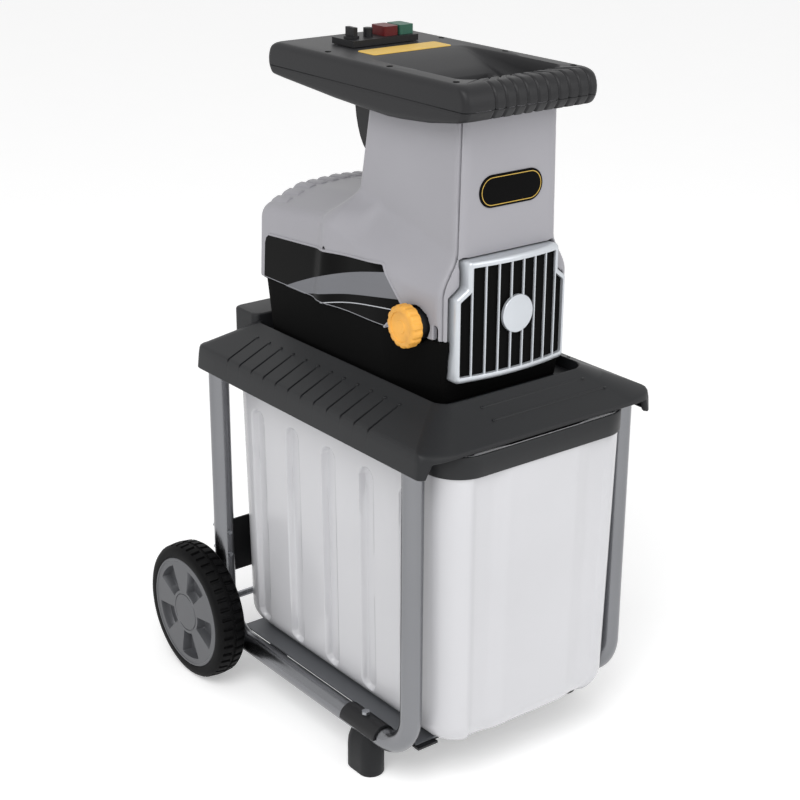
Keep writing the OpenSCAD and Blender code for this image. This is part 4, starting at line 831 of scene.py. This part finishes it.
for side in ("left", "right"):
    edges = [v[0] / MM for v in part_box(side + "_tyre")]
    mid, half = sum(edges) / 2, (edges[1] - edges[0]) / 2
    rings = []
    for u, r in SECTION:
        ring = []
        for k in range(BLOCKS):
            for s in (0.0, 0.08, 0.34, 0.42, 0.5, 0.58, 0.84, 0.92):
                a = (k + s) * 2 * math.pi / BLOCKS
                q = tread_radius(u, r, s)
                ring.append((mid + u * half, AXLE_Y + q * math.cos(a), AXLE_Z + q * math.sin(a)))
        rings.append(ring)
    piece("tread_" + side, loft(rings), "tyre_black", body=side + "_wheel",
          replaces=(side + "_tyre",), angle=35)


# Wheel faces: a flat disc with five pockets around the hub

def pocket(r, a):
    """Depth of the pockets at a radius and an angle in degrees from the top."""
    off = np.abs((a - 28.0 + 36.0) % 72.0 - 36.0)
    wall = np.maximum(np.abs(r - 51.0) - 19.0, r * np.radians(off) - 0.3 * r - 1.0)
    return 12.0 * smoothstep(0.0, -2.5, wall)


turn = np.arange(0.0, 360.0, 1.5)
for side, sign in (("left", -1), ("right", 1)):
    face, inner = sign * 232.6, sign * 192.0
    profile = [(1.0, 0.0), (14.0, 0.0), (26.4, 0.0), (26.9, 1.0), (27.6, 1.0), (28.1, 0.0)]
    profile += [(r, 0.0) for r in np.arange(29.0, 77.5, 1.0)] + [(78.0, -0.8), (80.5, -0.8), (81.4, 0.4)]
    rings = []
    for r, back in profile:
        x = face - sign * (back + pocket(r, turn))
        y, z = AXLE_Y - r * np.sin(np.radians(turn)), AXLE_Z + r * np.cos(np.radians(turn))
        rings.append(np.stack([x, y, z], axis=1))
    rings.append(rings[-1] * [0.0, 1.0, 1.0] + [inner, 0.0, 0.0])
    piece("wheel_face_" + side, loft(rings, cap_first=True, cap_last=True, flip=sign > 0), "wheel_grey",
          body=side + "_wheel", replaces=(side + "_wheel_rim", side + "_hub_cap"), angle=35)


# Plates between the frame tubes

RUN_Z, STRAP_TOP, TUBE_R = 65.0, 68.0, 14.0
STRAP_HALF = 157.0


def plate(x, y0, y1, z0, z1):
    """A flat plate across the machine with slightly rounded edges."""
    rings = [flat(rect_ring(-x + d, x - d, y0 + d, y1 - d, 1.2, 4, 2, 4), z)
             for d, z in ((0.4, z0), (0.0, z0 + 0.4), (0.0, z1 - 0.4), (0.4, z1))]
    return loft(rings, cap_first=True, cap_last=True)


# The front plate saddles both tubes, with a short lip beside each leg
strap_low, strap_high = [np.array(v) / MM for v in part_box("front_cross_plate")]
foot_low, foot_high = [np.array(v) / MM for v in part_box("left_foot")]
tube_x = (foot_low[0] + foot_high[0]) / 2
sheet_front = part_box("floor_plate")[0][1] / MM
parts = [plate(STRAP_HALF, sheet_front, strap_high[1], RUN_Z, STRAP_TOP)]
outer = arc(0.0, RUN_Z, TUBE_R + 3.0, 0, 180, 16)
saddle = np.concatenate([outer, arc(0.0, RUN_Z, TUBE_R + 0.05, 180, 0, 16)])
lip = np.array([(-16.0, RUN_Z), (16.0, RUN_Z), (16.0, STRAP_TOP), (-16.0, STRAP_TOP)])
for side in (-1, 1):
    for outline, x, ends in ((saddle, tube_x, (foot_low[1] - 10.0, strap_high[1])),
                             (lip, 141.0, (strap_low[1], sheet_front + 1.0))):
        rings = [upright(outline + [side * x, 0.0], y) for y in ends]
        parts.append(loft(rings, cap_first=True, cap_last=True, flip=True))
piece("front_plate", merge(*parts), "black_metal", replaces=("front_cross_plate",))
piece("rear_plate", plate(168.0, 195.9, 198.9, 143.0, 225.0), "black_metal", replaces=("rear_cross_plate",))
piece("rear_strap", plate(STRAP_HALF, 56.75, 96.75, RUN_Z, STRAP_TOP), "black_metal",
      replaces=("rear_floor_strap",))


# Knob

knob_left, knob_right = [v[0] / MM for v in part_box("adjusting_knob")]
a = np.linspace(0, 2 * np.pi, 240, endpoint=False)
lobes = -0.045 * np.clip(-np.cos(a * 15), -0.2, 1.0)
rings = []
for r, x, share in ((22.0, knob_right, 0.0), (26.6, knob_right - 0.4, 0.6), (27.0, knob_right - 1.6, 1.0),
                    (27.0, knob_left + 3.4, 1.0), (26.3, knob_left + 1.6, 1.0), (24.6, knob_left + 0.5, 0.8),
                    (22.4, knob_left, 0.5), (19.2, knob_left + 0.1, 0.2), (18.6, knob_left + 1.2, 0.0),
                    (17.4, knob_left + 1.6, 0.0), (8.6, knob_left + 1.4, 0.0), (8.0, knob_left + 0.8, 0.0),
                    (1.0, knob_left + 0.6, 0.0)):
    q = r * (1.0 + lobes * share)
    rings.append(np.stack([np.full(240, x), KNOB_Y + q * np.cos(a), KNOB_Z + q * np.sin(a)], axis=1))
piece("knob", loft(rings, cap_first=True, cap_last=True, flip=True), "knob_yellow", body="knob",
      replaces=("adjusting_knob",), angle=40)


# Feet

for side in ("left", "right"):
    (x0, y0, _), (x1, y1, top) = [np.array(v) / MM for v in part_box(side + "_foot")]
    rings = []
    for d, share in ((3.0, 0.0), (1.0, 0.005), (0.0, 0.03), (0.0, 0.55), (1.0, 0.72), (4.5, 0.9),
                     (9.0, 1.0)):
        r = max(4.0, (x1 - x0) / 2 - d - 0.5)
        rings.append(flat(rect_ring(x0 + d, x1 - d, y0 + d, y1 - d, r, 8, 8), top * share))
    piece("foot_" + side, loft(rings, cap_first=True, cap_last=True), "foot_rubber",
          replaces=(side + "_foot",), angle=40)


# Pieces that keep their own solids

for obj in NODES.values():
    if obj.hide_render:
        continue
    names = [m.name for m in obj.data.materials if m]
    key = next((k for k in MATS if names and names[0].startswith(k)), "black_plastic")
    obj.data.materials.clear()
    obj.data.materials.append(MATS[key])


# Floor, light and camera

mesh = bpy.data.meshes.new("floor")
mesh.from_pydata([(-40, -40, 0), (40, -40, 0), (40, 40, 0), (-40, 40, 0)], [], [(0, 1, 2, 3)])
floor = bpy.data.objects.new("floor", mesh)
bpy.context.scene.collection.objects.link(floor)
paper = node_material("floor", "F7F7F7", 0.9, vary=0.004, bump=0.0, spec=0.0)
sheen = next(n for n in paper.node_tree.nodes if n.type == "BSDF_PRINCIPLED")
sheen.inputs["Emission Color"].default_value = (1.0, 1.0, 1.0, 1.0)
sheen.inputs["Emission Strength"].default_value = 0.32
mesh.materials.append(paper)

world = bpy.data.worlds.new("studio")
bpy.context.scene.world = world
world.use_nodes = True
tree = world.node_tree
tree.nodes.clear()
out = tree.nodes.new("ShaderNodeOutputWorld")
white = tree.nodes.new("ShaderNodeBackground")
white.inputs["Color"].default_value = (1.0, 1.0, 1.0, 1.0)
white.inputs["Strength"].default_value = 1.0
room = tree.nodes.new("ShaderNodeBackground")
room.inputs["Color"].default_value = (1.0, 1.0, 1.0, 1.0)
coord = tree.nodes.new("ShaderNodeTexCoord")
facing = tree.nodes.new("ShaderNodeVectorMath")
facing.operation = "DOT_PRODUCT"
facing.inputs[1].default_value = (-0.55, -0.75, 0.35)
level = tree.nodes.new("ShaderNodeMapRange")
level.inputs["From Min"].default_value = -0.6
level.inputs["From Max"].default_value = 0.9
level.inputs["To Min"].default_value = 0.18
level.inputs["To Max"].default_value = 1.0
rays = tree.nodes.new("ShaderNodeLightPath")
choose = tree.nodes.new("ShaderNodeMixShader")
seen = rays.outputs["Is Camera Ray"]
for kind in ("Is Glossy Ray", "Is Transmission Ray"):
    either = tree.nodes.new("ShaderNodeMath")
    either.operation = "MAXIMUM"
    tree.links.new(seen, either.inputs[0])
    tree.links.new(rays.outputs[kind], either.inputs[1])
    seen = either.outputs["Value"]
tree.links.new(coord.outputs["Generated"], facing.inputs[0])
tree.links.new(facing.outputs["Value"], level.inputs["Value"])
tree.links.new(level.outputs["Result"], room.inputs["Strength"])
tree.links.new(seen, choose.inputs["Fac"])
tree.links.new(room.outputs["Background"], choose.inputs[1])
tree.links.new(white.outputs["Background"], choose.inputs[2])
tree.links.new(choose.outputs["Shader"], out.inputs["Surface"])


def area(name, at, size, power):
    """A round lamp aimed at the middle of the machine."""
    data = bpy.data.lights.new(name, "AREA")
    data.energy = power
    data.shape = "DISK"
    data.size = size
    lamp = bpy.data.objects.new(name, data)
    lamp.location = at
    lamp.rotation_euler = (Vector((0, 0, 0.5)) - Vector(at)).to_track_quat("-Z", "Y").to_euler()
    bpy.context.scene.collection.objects.link(lamp)
    return lamp


area("key", (-2.2, -1.6, 3.2), 2.2, 62.0)
area("fill", (1.2, -3.2, 2.0), 2.4, 26.0)

lens = bpy.data.cameras.new("camera")
lens.sensor_width = 36.0
lens.lens = 76.79
camera = bpy.data.objects.new("camera", lens)
bpy.context.scene.collection.objects.link(camera)
camera.location = (-1.3331, -1.71015, 1.2731)
yaw, pitch, roll = [math.radians(v) for v in (37.983, 21.141, 0.314)]
ahead = Vector((math.sin(yaw) * math.cos(pitch), math.cos(yaw) * math.cos(pitch), -math.sin(pitch)))
level_right = Vector((math.cos(yaw), -math.sin(yaw), 0.0))
right = level_right * math.cos(roll) + level_right.cross(ahead) * math.sin(roll)
camera.rotation_euler = Matrix((right, right.cross(ahead), -ahead)).transposed().to_euler()
bpy.context.scene.camera = camera
bpy.context.scene.view_settings.view_transform = "Standard"
